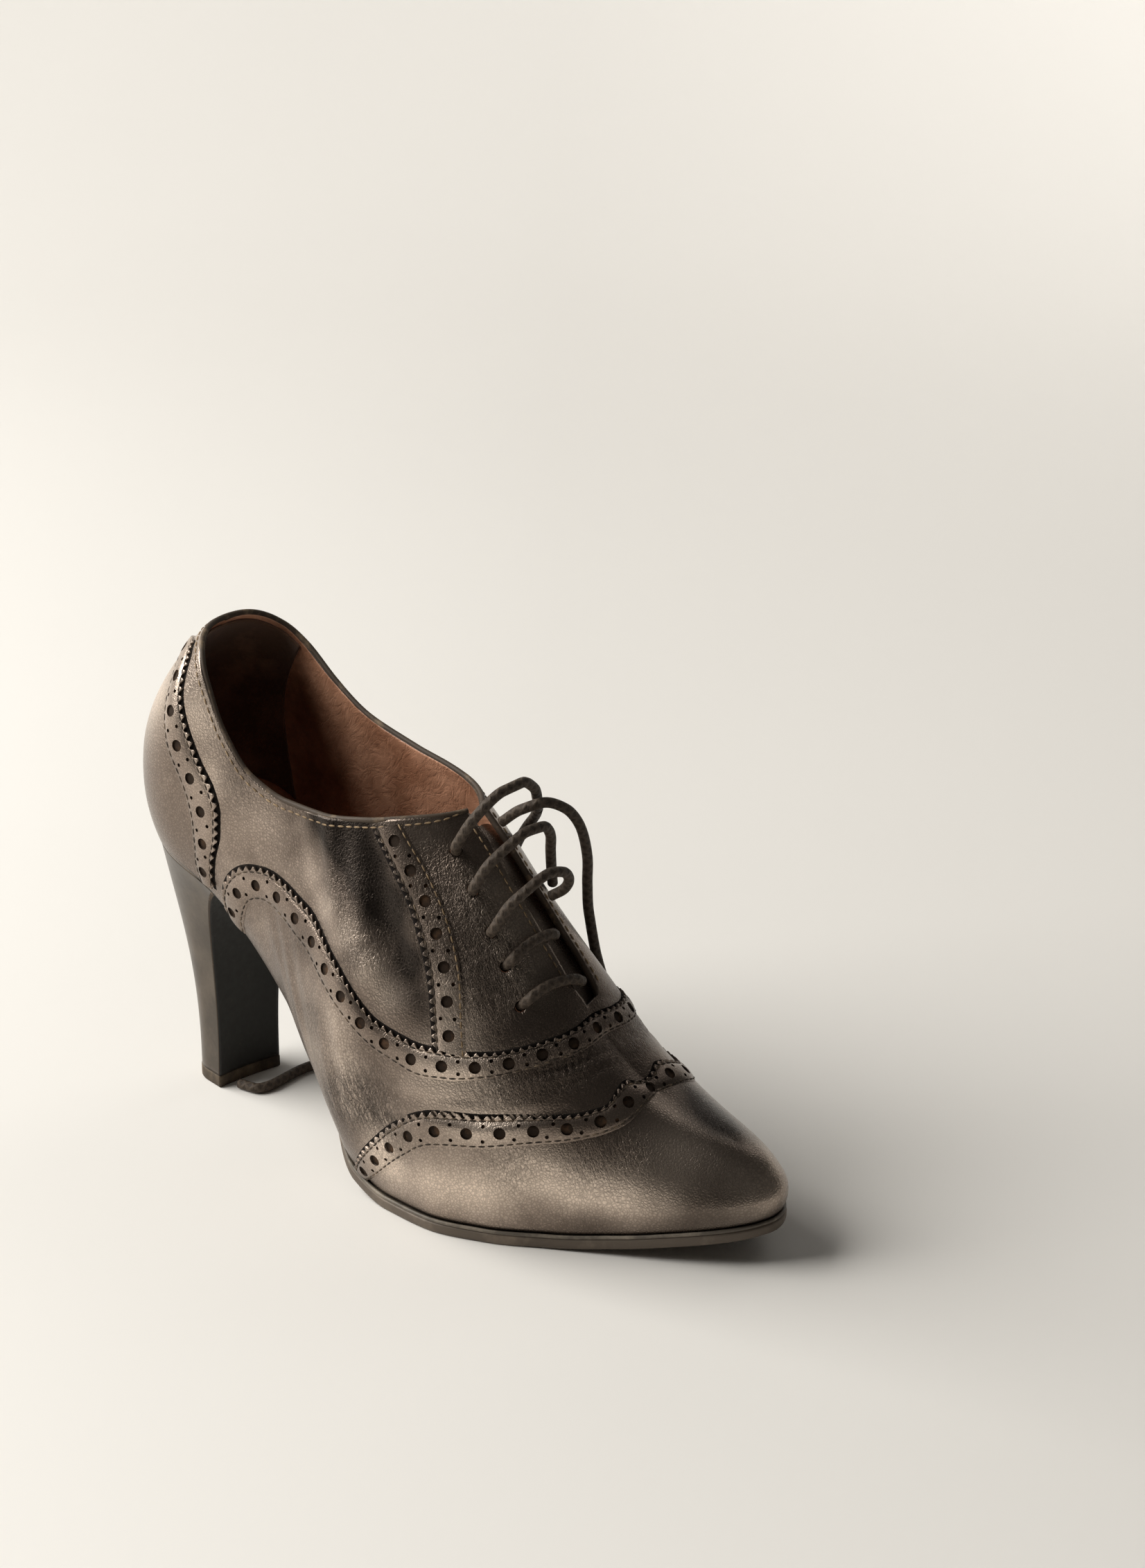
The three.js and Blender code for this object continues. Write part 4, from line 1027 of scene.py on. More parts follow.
def make_materials():
    colours = bpy.context.scene.oxford_colours
    ground = tuple(colours.leather)
    rubbed = tuple(colours.rubbed)
    lining = tuple(colours.lining)
    shade = tuple(c * k for c, k in zip(lining, LINING_SHADE))
    MATERIALS["skin"] = new_material(
        "aged pewter leather", paint_leather(ground, rubbed, 1050.0, 0.42, 0.26),
        Metallic=0.90, Coat_Weight=0.05, Coat_Roughness=0.25)
    MATERIALS["band"] = new_material(
        "polished pewter leather", paint_leather(toned(ground, 1.15), rubbed, 1250.0, 0.36, 0.27),
        Metallic=0.90, Coat_Weight=0.05, Coat_Roughness=0.2)
    MATERIALS["lining"] = new_material(
        "chestnut lining", paint_lining(shade, lining, 1500.0), Specular_IOR_Level=0.6)
    for key, (name, *look, constants) in PLAIN.items():
        MATERIALS[key] = new_material(name, paint_plain(*look), **constants)
    MATERIALS["lace"] = new_material("waxed braid", paint_lace, Specular_IOR_Level=0.22)


def finish_piece(obj, slot, *materials, replaces=()):
    obj.data.materials.clear()
    for key in materials:
        obj.data.materials.append(MATERIALS[key])
    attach(obj, "root")
    if replaces:
        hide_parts(*replaces)
    return obj


def leather_offset(points, place, girth):
    """Height of the worn skin over the last: the listed creases and a low natural waviness."""
    waves = (
        0.16 * np.sin(27 * place + 3.1 * girth)
        + 0.12 * np.sin(43 * place - 5.3 * girth + 1.3)
        + 0.10 * np.sin(12.7 * girth + 9 * place)
    )
    share = np.where(girth > 1, 2 - girth, girth)
    calm = smooth(share, 0.02, 0.15) * (1 - smooth(place, 0.64, 0.82))
    return crease_relief(points) + waves * calm


def on_leather(place, girth, offset):
    """Points at an offset over the worn skin."""
    place, girth = np.broadcast_arrays(np.asarray(place, float), np.asarray(girth, float))
    base = last_points(place, girth)
    return offset_points(place, girth, leather_offset(base, place, girth) + offset)


def spread(t, dense, share):
    """Runs from 0 to 1 with the first share of t spent on the first dense part."""
    return np.where(t < share, t / share * dense, dense + (t - share) / (1 - share) * (1 - dense))


def smooth_path(points, count):
    """Even points along a curve through the given ones, relaxed a little as a limp lace would lie."""
    points = np.asarray(points, float)
    run = line_length(points)
    curve = [monotone(run, points[:, k]) for k in range(3)]
    fine = np.linspace(0, run[-1], 12 * count)
    line = np.stack([c(fine) for c in curve], -1)
    for _ in range(60):
        line[1:-1] += 0.5 * (0.5 * (line[:-2] + line[2:]) - line[1:-1])
    return evenly(line, line, count=count)


def tube(name, path, radius, sides=14, pitch=2.9):
    """A closed round tube along a path in millimetres, with its UV map along and around it."""
    tangent = np.gradient(path, axis=0)
    tangent /= np.linalg.norm(tangent, axis=1, keepdims=True)
    normal = np.zeros_like(path)
    first = np.cross(tangent[0], (0.0, 0.0, 1.0))
    if np.linalg.norm(first) < 0.1:
        first = np.cross(tangent[0], (0.0, 1.0, 0.0))
    normal[0] = first / np.linalg.norm(first)
    for i in range(1, len(path)):
        carried = normal[i - 1] - tangent[i] * normal[i - 1].dot(tangent[i])
        normal[i] = carried / np.linalg.norm(carried)
    across = np.cross(tangent, normal)
    columns = len(path) - 1

    def place(u, v):
        i = np.round(u * columns).astype(int)
        turn = 2 * np.pi * v
        ring = np.cos(turn)[:, None] * normal[i] + np.sin(turn)[:, None] * across[i]
        return path[i] + ring * float(radius)

    obj = shaped_grid(name, columns, sides, place, closed=True)
    length = line_length(path)[-1]
    for loop in obj.data.uv_layers[0].data:
        loop.uv[0] *= length / pitch
    return obj


def facing_line(side, start, end, inset, count=160):
    """(place, girth) rows along a facing's front edge or the topline, inset in millimetres."""
    place = np.linspace(start, end, count)
    top = top_girth(place, side)
    below = np.maximum(top - 0.01, 0)
    edge = last_points(place, girth_of(top, side))
    under = last_points(place, girth_of(below, side))
    rate = np.linalg.norm(edge - under, axis=1) / 0.01
    return np.stack([place, girth_of(top - inset / rate, side)], -1)


def forepart_at(x):
    """0 at the waist, 1 in the forepart."""
    return smooth(x / LENGTH, 0.34, 0.46)


def sole_thickness(x):
    return SOLE_THICKNESS * (WAIST_THICKNESS + (1 - WAIST_THICKNESS) * forepart_at(x))


def sole_outline(place, side, edge):
    """A point of the sole line moved outward in plan by edge."""
    side = np.where(past_end(place), -side, side)
    place = folded(place)

    def at(p, s):
        s = np.where(past_end(p), -s, s)
        x = travel(folded(p))
        return np.stack([x, centre_at(x) + s * half_width(x, s), foot_at(x)], -1)

    h = 1e-3
    along = at(place + h, side) - at(place - h, side)
    along[..., 2] = 0
    along /= np.linalg.norm(along, axis=-1, keepdims=True) + 1e-12
    points = at(place, side)
    points[..., 0] += -side * along[..., 1] * edge
    points[..., 1] += side * along[..., 0] * edge
    return points


def heel_ring(height, turn):
    """Heel section at a height share. turn 0 to 0.8 runs round the cover, the rest over the breast."""
    height = np.asarray(height, float)
    flare = height**HEEL_FLARE
    twist = HEEL_TWIST * (1 - height)
    back = HEEL_FOOT_BACK + (SEAT_BACK + PIECE_GAP - HEEL_FOOT_BACK) * flare
    breast = HEEL_FOOT_BREAST + (HEEL_BREAST - HEEL_FOOT_BREAST) * height**4
    middle = (back + breast) / 2
    cover = np.clip(turn / COVER_SHARE, 0, 1)
    side = np.where(cover <= 0.5, 1, -1)
    around = np.abs(cover - 0.5) * 2
    share = 1 - np.cos(np.pi / 2 * around)
    x = back + (breast - back) * share
    tip = HEEL_FOOT_HALF * np.sqrt(1 - (1 - np.minimum(1, 1.6 * share)) ** 2.4)
    seat = half_width(x, side) - PIECE_GAP
    y = side * (tip + (np.maximum(seat, 0.2) - tip) * flare)
    y = np.where(around < 1e-6, 0, y)
    over = np.clip((turn - COVER_SHARE) / (1 - COVER_SHARE), 0, 1)
    lateral, medial = (
        s * (HEEL_FOOT_HALF + (half_width(breast, s) - PIECE_GAP - HEEL_FOOT_HALF) * flare) for s in (-1, 1)
    )
    y = np.where(turn > COVER_SHARE, lateral + (medial - lateral) * over, y)
    hollow = 0.5 * np.sin(np.pi * over) * (1 - 0.4 * height)
    x = np.where(turn > COVER_SHARE, breast - hollow, x)
    dx = x - middle
    return np.stack([
        middle + dx * np.cos(twist) + y * np.sin(twist),
        y * np.cos(twist) - dx * np.sin(twist),
    ], -1)


class OxfordSizes(bpy.types.PropertyGroup):
    """Sizes that a user may change."""

    lace: bpy.props.FloatProperty(
        name="Lace", description="Thickness of the round lace", default=0.0031, min=0.001,
        max=0.004, unit="LENGTH", precision=4)
    pinking: bpy.props.FloatProperty(
        name="Pinking", description="Width of one tooth of the pinked edges", default=0.0027, min=0.001,
        max=0.006, unit="LENGTH", precision=4)
    tooth: bpy.props.FloatProperty(
        name="Tooth depth", description="Depth of the teeth of the pinked edges", default=0.0015, min=0.0,
        max=0.003, unit="LENGTH", precision=4)
    hole: bpy.props.FloatProperty(
        name="Brogue hole", description="Width of the large holes in the bands", default=0.0036, min=0.001,
        max=0.005, unit="LENGTH", precision=4)
    rhythm: bpy.props.FloatProperty(
        name="Rhythm", description="Distance from one large hole to the next", default=0.0095, min=0.004,
        max=0.02, unit="LENGTH", precision=4)
    stitch: bpy.props.FloatProperty(
        name="Stitch", description="Length of one stitch", default=0.0021, min=0.001,
        max=0.005, unit="LENGTH", precision=4)


class OxfordColours(bpy.types.PropertyGroup):
    """Colours that a user may change."""

    leather: bpy.props.FloatVectorProperty(
        name="Leather", description="Dark ground of the pewter leather", size=3, min=0, max=1,
        default=(0.200, 0.155, 0.125), subtype="COLOR")
    # The rubbed tone is also the colour of the painted highlights.
    rubbed: bpy.props.FloatVectorProperty(
        name="Rubbed", description="Lighter tone where the leather is rubbed", size=3, min=0, max=1,
        default=(0.92, 0.765, 0.635), subtype="COLOR")
    lining: bpy.props.FloatVectorProperty(
        name="Lining", description="Lighter tone of the chestnut lining", size=3, min=0, max=1,
        default=(0.78, 0.41, 0.255), subtype="COLOR")
    floor: bpy.props.FloatVectorProperty(
        name="Floor", description="Colour of the floor and the backdrop", size=3, min=0, max=1,
        default=(0.80, 0.775, 0.735), subtype="COLOR")


def sizes():
    return bpy.context.scene.oxford_sizes


# The photograph's view: azimuth, elevation, distance and the frame's own sizes.
VIEW_AZIMUTH = math.radians(38.0)
VIEW_ELEVATION = math.radians(23.5)
VIEW_DISTANCE = 1.1642
FOCAL_PIXELS = 5400.0
FRAME_WIDTH = 1652
FRAME_HEIGHT = 2263
ANCHOR = metres([25.0, -11.3, 0.0])
ANCHOR_PIXEL = (319.0, 1566.0)


def view_axes():
    back = np.array([
        math.sin(VIEW_AZIMUTH) * math.cos(VIEW_ELEVATION),
        -math.cos(VIEW_AZIMUTH) * math.cos(VIEW_ELEVATION),
        math.sin(VIEW_ELEVATION),
    ])
    right = np.array([math.cos(VIEW_AZIMUTH), math.sin(VIEW_AZIMUTH), 0.0])
    return right, np.cross(back, right), back


def add_light(name, place, target, power, size, tone):
    bpy.ops.object.light_add(type="AREA", location=place)
    lamp = bpy.context.active_object
    lamp.name = name
    lamp.data.name = name
    lamp.data.shape = "RECTANGLE"
    lamp.data.size = size[0]
    lamp.data.size_y = size[1]
    lamp.data.energy = power
    lamp.data.color = tone
    lamp.rotation_euler = (Vector(target) - Vector(place)).to_track_quat("-Z", "Y").to_euler()
    return lamp


class OXFORD_OT_stage(bpy.types.Operator):
    """Adds the camera, the pale floor with its backdrop, and the soft studio light"""

    bl_idname = "oxford.stage"
    bl_label = "Stage"

    def execute(self, context):
        right, up, back = view_axes()
        across = (ANCHOR_PIXEL[0] - FRAME_WIDTH / 2) / FOCAL_PIXELS * VIEW_DISTANCE
        above = -(ANCHOR_PIXEL[1] - FRAME_HEIGHT / 2) / FOCAL_PIXELS * VIEW_DISTANCE
        eye = ANCHOR - (right * across + up * above) + back * VIEW_DISTANCE
        bpy.ops.object.camera_add(location=eye)
        camera = context.active_object
        camera.name = "camera"
        camera.rotation_euler = Matrix(np.stack([right, up, back], 1).tolist()).to_euler()
        camera.data.sensor_fit = "HORIZONTAL"
        camera.data.sensor_width = 36.0
        camera.data.lens = FOCAL_PIXELS / FRAME_WIDTH * 36.0
        camera.data.clip_start = 0.05
        context.scene.camera = camera

        flat = np.array([-math.sin(VIEW_AZIMUTH), math.cos(VIEW_AZIMUTH), 0.0])
        bpy.ops.mesh.primitive_grid_add(x_subdivisions=2, y_subdivisions=60, size=1)
        floor = context.active_object
        floor.name = "floor_and_backdrop"
        for vertex in floor.data.vertices:
            run = (vertex.co.y + 0.5) * PAPER_LENGTH
            turn = min(max((run - PAPER_FLAT) / PAPER_BEND, 0.0), math.pi / 2)
            rest = max(run - PAPER_FLAT - PAPER_BEND * math.pi / 2, 0.0)
            ahead = min(run, PAPER_FLAT) + PAPER_BEND * math.sin(turn) - PAPER_NEAR
            height = PAPER_BEND * (1 - math.cos(turn)) + rest
            point = right * vertex.co.x * PAPER_WIDTH + flat * ahead
            vertex.co = (point[0], point[1], height)
        floor.location = (0, 0, 0)
        face_outward(floor, lambda point: Vector((-flat[0], -flat[1], 1.0)))
        select_only(floor)
        bpy.ops.object.shade_smooth()
        tone = tuple(context.scene.oxford_colours.floor)

        def paint(n, where):
            cloud = n.noise(where, 1.7, 3.0, 0.5)
            fine = n.noise(where, 140.0, 3.0, 0.6)
            colour = n.mix(n.ramp(cloud, 0.3, 0.7), tone, toned(tone, 0.965))
            # Painted light: the paper is painted lighter towards the right and towards the camera, where
            # the lamps fall short.
            side = n.vector("DOT_PRODUCT", where, tuple(right), "Value")
            near = n.vector("DOT_PRODUCT", where, tuple(-flat), "Value")
            painted_light = n.math("MAXIMUM", n.ramp(side, 0.03, 0.40), n.ramp(near, 0.0, 0.35))
            colour = n.mix(painted_light, colour, toned(tone, 1.18))
            return {"Base Color": colour, "Normal": bump(n, (fine, 0.0002, 0.15))}

        paper = new_material("pale paper", paint, Roughness=0.62, Specular_IOR_Level=0.25)
        floor.data.materials.append(paper)

        world = bpy.data.worlds.new("soft room")
        world.use_nodes = True
        sky = Nodes(world.node_tree)
        seen = sky.add("ShaderNodeLightPath").outputs["Is Camera Ray"]
        strength = sky.math("ADD", WORLD_STRENGTH, sky.math("MULTIPLY", seen, WORLD_SEEN - WORLD_STRENGTH))
        ground = world.node_tree.nodes["Background"]
        ground.inputs["Color"].default_value = (1.0, 0.965, 0.905, 1.0)
        world.node_tree.links.new(strength, ground.inputs["Strength"])
        context.scene.world = world
        context.scene.view_settings.view_transform = "Standard"
        for name, place, aim, power, size, degrees, light_tone in LIGHTS:
            at = right * place[0] + flat * place[1]
            spot = right * aim[0] + flat * aim[1]
            target = (spot[0], spot[1], 0.05)
            lamp = add_light(name, (at[0], at[1], place[2]), target, power, size, light_tone)
            lamp.data.spread = math.radians(degrees)
        return {"FINISHED"}


class OXFORD_OT_laces(bpy.types.Operator):
    """Adds the two free lace ends as cords and the five crossings between the facings"""

    bl_idname = "oxford.laces"
    bl_label = "Laces"

    def execute(self, context):
        radius = sizes().lace * 500
        ends = (("lace_end_floor", LACE_END_FLOOR), ("lace_end_medial", LACE_END_MEDIAL))
        for node, route in ends:
            path = smooth_path(route, 240)
            obj = tube(node + "_braid", path, radius)
            finish_piece(obj, "lace", "lace", replaces=(node,))
        for index in range(5):
            obj = tube(f"lace_crossing_{index + 1}", crossing_path(index), radius)
            finish_piece(obj, "lace", "lace", replaces=(f"lace_bar_{index + 1}",))
        return {"FINISHED"}


def crossing_path(index):
    """Centreline of one crossing, which starts inside its own lace hole."""
    place, _, girth = EYELETS[index]
    normal = last_normals(place, girth)
    hole = last_points(place, girth)
    under = [hole - normal * 2.4, hole - normal * 0.4]
    if index < len(LACE_BARS):
        return smooth_path(under + [np.array(p) for p in LACE_BARS[index]], 90)
    at, end = LOW_BARS[index - len(LACE_BARS)]
    t = np.linspace(0, 1, 9)
    run_place = place + (at - place) * t
    run_girth = girth + (end - girth) * t
    lift = (LACE_DIAMETER / 2 + 0.5) * (1 - smooth(t, 0.84, 1.04))
    run = offset_points(run_place, run_girth, lift)
    return smooth_path(under[:1] + list(run[1:]), 70)


def blobs(points, table):
    """Soft spots (place, girth, radius in mm, strength) added up at points of the last."""
    total = np.zeros(len(points))
    for place, girth, radius, strength in table:
        middle = last_points(place, girth)
        total += strength * np.exp(-np.sum((points - middle) ** 2, axis=1) / radius**2)
    return np.clip(total, 0, 1)


def paint_marks(obj):
    """Stores where the leather is rubbed and lit by painted highlight, creased or darkened by painted
    shade, for its material.
    """
    points = on_the_last(obj)
    for name, table in (("rubbed", RUBBED_AND_LIT), ("creased", CREASED), ("waxed", PAINTED_SHADE)):
        layer = obj.data.attributes.new(name, "FLOAT", "POINT")
        value = blobs(points, table)
        # Painted shade also darkens a narrow band along the foot of the upper, where it meets the sole.
        if name == "waxed":
            value = np.maximum(value, 1 - smooth(points[:, 2] - foot_at(points[:, 0]), 0.3, 1.6))
        layer.data.foreach_set("value", value)


class OXFORD_OT_upper(bpy.types.Operator):
    """Adds the leather shell with its creases, lace holes and lining side"""

    bl_idname = "oxford.upper"
    bl_label = "Upper"

    def execute(self, context):
        columns = 420
        rows = 88
        at = np.linspace(0, 1, columns // 2 + 1)
        tops = {side: top_girth(at, side) for side in (-1, 1)}

        def place(u, v):
            lateral = u <= 0.5
            place = np.abs(2 * u - 1)
            top = np.where(lateral, np.interp(place, at, tops[-1]), np.interp(place, at, tops[1]))
            lip = np.clip(1 - v / LIP_SHARE, 0, 1)
            share = spread(np.clip((v - LIP_SHARE) / (1 - LIP_SHARE), 0, 1), 0.03, 0.06) * top
            girth = np.where(lateral, share, 2 - share)
            points = last_points(place, np.clip(girth, 0, 2))
            relief = leather_offset(points, place, girth)
            height = np.clip(points[:, 2] - foot_at(points[:, 0]), 0, UNDER_ROUND)
            rounding = UNDER_ROUND - np.sqrt(UNDER_ROUND**2 - (UNDER_ROUND - height) ** 2)
            offset = relief - rounding - lip * UNDER_LIP
            skin = offset_points(place, girth, offset)
            skin[:, 2] = np.where(lip > 0, foot_at(points[:, 0]) - 0.05, skin[:, 2])
            return skin

        obj = shaped_grid("upper_leather_shell", columns, rows, place, toward=away_from(110, 0, 55))
        self.round_the_toe(obj)
        for key in ("skin", "lining", "edge"):
            obj.data.materials.append(MATERIALS[key])
        apply_modifier(obj, "SOLIDIFY", thickness=UPPER_WALL / 1000, offset=-1.0, material_offset=1,
                       material_offset_rim=2)
        cut_with(obj, self.hole_cutter())
        paint_marks(obj)
        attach(obj, "root")
        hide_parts("upper")
        return {"FINISHED"}

    def round_the_toe(self, obj):
        """Evens out the shallow groove that the last leaves along the top of the toe."""
        points = on_the_last(obj)
        height = points[:, 2] - foot_at(points[:, 0])
        weight = smooth(points[:, 0], *GROOVE_X) * smooth(height, *GROOVE_HEIGHT)
        group = obj.vertex_groups.new(name="toe")
        for index in np.flatnonzero(weight > 0.01):
            group.add([int(index)], float(weight[index]), "REPLACE")
        apply_modifier(obj, "SMOOTH", factor=0.5, iterations=320, vertex_group="toe")

    def hole_cutter(self):
        places = []
        for lateral, medial, girth in EYELETS:
            places.append((lateral, girth))
            points = last_points(lateral, girth)
            target = 2 * throat_centre(points[0]) - points[1]
            shares = np.linspace(1.0, 1.9, 400)
            line = last_points(medial, shares)[:, 1]
            places.append((medial, float(np.interp(target, line, shares))))
        places = np.array(places)
        points = last_points(places[:, 0], places[:, 1])
        normals = last_normals(places[:, 0], places[:, 1])
        along = last_points(places[:, 0] + 0.01, places[:, 1]) - points
        bpy.ops.mesh.primitive_cylinder_add(vertices=20, radius=0.5, depth=1.0)
        frames = frames_from(points, along, normals, (LACE_HOLE, LACE_HOLE, 9.0))
        return joined_copies("lace_holes", bpy.context.active_object, frames)


def band_points(rows, place_share, across):
    """(place, girth) inside a band: share along it, and across from the pinked to the stitched edge."""
    table = np.asarray(rows, float)
    t = np.linspace(0, 1, len(table))
    edges = [monotone(t, table[:, k])(place_share) for k in range(4)]
    place = edges[0] + (edges[2] - edges[0]) * across
    girth = edges[1] + (edges[3] - edges[1]) * across
    return place, girth


def mirrored(rows):
    """The same band carried on from the ridge down the other side."""
    other = [[a, 2 - b, c, 2 - d] for a, b, c, d in rows[-2::-1]]
    return rows + other


def other_side(rows):
    return [[a, 2 - b, c, 2 - d] for a, b, c, d in rows]


def even_shares(rows, count):
    """Shares along a band at even distances of its middle line."""
    t = np.linspace(0, 1, 800)
    place, girth = band_points(rows, t, 0.5)
    line = last_points(place, girth)
    run = line_length(line)
    return np.interp(np.linspace(0, run[-1], count), run, t), run[-1]


def band_profile():
    """Section of a band: share across it and height over the skin, round the whole section."""
    top = np.array(BAND_SECTION)
    bottom = np.stack([top[:, 0], np.full(len(top), BAND_INNER)], -1)[::-1]
    return np.concatenate([bottom[-1:], top, bottom])


def build_band(name, node, rows):
    tooth = sizes().pinking * 1000
    depth = sizes().tooth * 1000
    _, length = even_shares(rows, 2)
    teeth = int(length / tooth)
    columns = teeth * 6
    shares, _ = even_shares(rows, columns + 1)
    profile = band_profile()
    steps = len(profile) - 1
    place_0, girth_0 = band_points(rows, shares, 0.0)
    place_1, girth_1 = band_points(rows, shares, 1.0)
    width = np.linalg.norm(last_points(place_0, girth_0) - last_points(place_1, girth_1), axis=1)

    def place(u, v):
        i = np.round(u * columns).astype(int)
        k = np.round(v * steps).astype(int)
        wave = 0.5 + 0.5 * np.cos(2 * np.pi * u * teeth)
        notch = wave * depth / width[i]
        across = profile[k, 0]
        across = across + notch * np.clip(1 - across / TOOTH_END, 0, 1)
        at, girth = band_points(rows, shares[i], across)
        return on_leather(at, girth, profile[k, 1])

    obj = shaped_grid(name, columns, steps, place, closed=True)
    cut_with(obj, hole_pattern(rows, width.mean()))
    select_only(obj)
    bpy.ops.object.shade_smooth_by_angle(angle=math.radians(50))
    paint_marks(obj)
    finish_piece(obj, "band_leather", "band", replaces=(node,))

    # A thin near-black sheet under the pinked teeth, as painted shadow.
    def shade_place(u, v):
        across = SHADOW_STRIP[0] + SHADOW_STRIP[1] * v
        at, girth = band_points(rows, shares[np.round(u * (columns // 2)).astype(int) * 2], across)
        return on_leather(at, girth, 0.03 + 0.05 * v)

    shade = shaped_grid(name + "_edge_wax", columns // 2, 3, shade_place, toward=away_from(110, 0, 45))
    apply_modifier(shade, "SOLIDIFY", thickness=0.0001, offset=-1.0)
    finish_piece(shade, "band_leather", "wax")

    strip_columns = max(40, columns // 4)
    strip_shares, _ = even_shares(rows, strip_columns + 1)

    def strip_place(u, v):
        across = BACKING_STRIP[0] + BACKING_STRIP[1] * v
        at, girth = band_points(rows, strip_shares[np.round(u * strip_columns).astype(int)], across)
        return on_leather(at, girth, np.full(len(u), HOLE_FLOOR))

    strip = shaped_grid(name + "_backing", strip_columns, 3, strip_place, toward=away_from(110, 0, 45))
    apply_modifier(strip, "SOLIDIFY", thickness=0.0002, offset=-1.0)
    finish_piece(strip, "band_leather", "backing")


def hole_pattern(rows, width):
    """Cutters of one band: a large hole every rhythm, and a pair of pinholes between two of them."""
    rhythm = sizes().rhythm * 1000
    _, length = even_shares(rows, 2)
    count = int(length / rhythm)
    shares, _ = even_shares(rows, 2 * count + 1)
    big = shares[1::2]
    small = shares[2:-1:2]
    offset = 2.1 / width
    spots = [
        (big, HOLES_ACROSS, sizes().hole * 1000),
        (small, HOLES_ACROSS - offset, PINHOLE),
        (small, HOLES_ACROSS + offset, PINHOLE),
    ]
    frames = []
    for at, across, size in spots:
        place, girth = band_points(rows, at, across)
        points = last_points(place, girth)
        nearby, nearby_girth = band_points(rows, np.minimum(at + 0.002, 1), across)
        along = last_points(nearby, nearby_girth) - points
        frames.append(frames_from(points, along, last_normals(place, girth), (size, size, 6.0)))
    bpy.ops.mesh.primitive_cylinder_add(vertices=16, radius=0.5, depth=1.0)
    return joined_copies("punches", bpy.context.active_object, np.concatenate(frames))


# Bands: piece, the CAD node it stands for, and its rows.
BANDS = [
    ("pinked_toe_wing", "toe_wing_band", mirrored(TOE_BAND)),
    ("pinked_vamp", "vamp_band", mirrored(VAMP_BAND)),
    ("pinked_counter_lateral", "counter_band_lateral", COUNTER_BAND),
    ("pinked_counter_medial", "counter_band_medial", other_side(COUNTER_BAND)),
    ("pinked_facing_lateral", "facing_band_lateral", FACING_BAND),
    ("pinked_facing_medial", "facing_band_medial", other_side(FACING_BAND)),
]


class OXFORD_OT_bands(bpy.types.Operator):
    """Adds the six pinked and punched bands with their brown backing"""

    bl_idname = "oxford.bands"
    bl_label = "Brogue bands"

    def execute(self, context):
        for name, node, rows in BANDS:
            build_band(name, node, rows)
        return {"FINISHED"}


class OXFORD_OT_edges(bpy.types.Operator):
    """Adds the rolled topline binding, the stitch rows and the threads"""

    bl_idname = "oxford.edges"
    bl_label = "Binding and stitches"

    def execute(self, context):
        length = sizes().stitch * 1000
        self.binding()
        gold = []
        for side in (-1, 1):
            corner = facing_corner(side)
            collar = facing_line(side, 0.0, corner, COLLAR_STITCH)
            gold.append(self.row(collar, length))
            front = facing_line(side, corner + 0.010, 0.640, FRONT_STITCH, 90)
            gold.append(self.row(front, length))
        dark = []
        for name, _, rows in BANDS:
            outer, inner = (self.band_row(rows, across, length) for across in BAND_STITCHES)
            dark.append(outer)
            (gold if "facing" in name else dark).append(inner)
        threads = joined_copies("gold_stitches", capsule(), np.concatenate(gold))
        finish_piece(threads, "lace", "gold")
        threads = joined_copies("dark_stitches", capsule(), np.concatenate(dark))
        finish_piece(threads, "lace", "thread")
        return {"FINISHED"}

    def row(self, pg, length):
        points = last_points(pg[:, 0], pg[:, 1])
        even = evenly(points, pg, spacing=length * 1.32)
        return self.frames(even, 0.06, length)

    def band_row(self, rows, across, length):
        shares, _ = even_shares(rows, 900)
        place, girth = band_points(rows, shares, across)
        pg = np.stack([place, girth], -1)
        even = evenly(last_points(place, girth), pg, spacing=length * 1.3, start=1.0)
        level = float(np.interp(across, *np.array(BAND_SECTION).T)) + 0.06
        return self.frames(even, level, length)

    def frames(self, even, offset, length):
        at = on_leather(even[:, 0], even[:, 1], np.full(len(even), offset))
        along = np.gradient(at, axis=0)
        normals = last_normals(even[:, 0], even[:, 1])
        return frames_from(at, along, normals, (length, *THREAD))

    def binding(self):
        path = np.concatenate([self.top_line(-1)[::-1], self.top_line(1)[1:]])
        path = evenly(path, path, count=420)
        obj = tube("topline_binding", path, BINDING_RADIUS, sides=12)
        finish_piece(obj, "band_leather", "binding")

    def top_line(self, side):
        place = np.linspace(0.0, facing_corner(side), 240)
        top = top_girth(place, side)
        return offset_points(place, girth_of(top, side), np.full(len(place), BINDING_LEVEL))


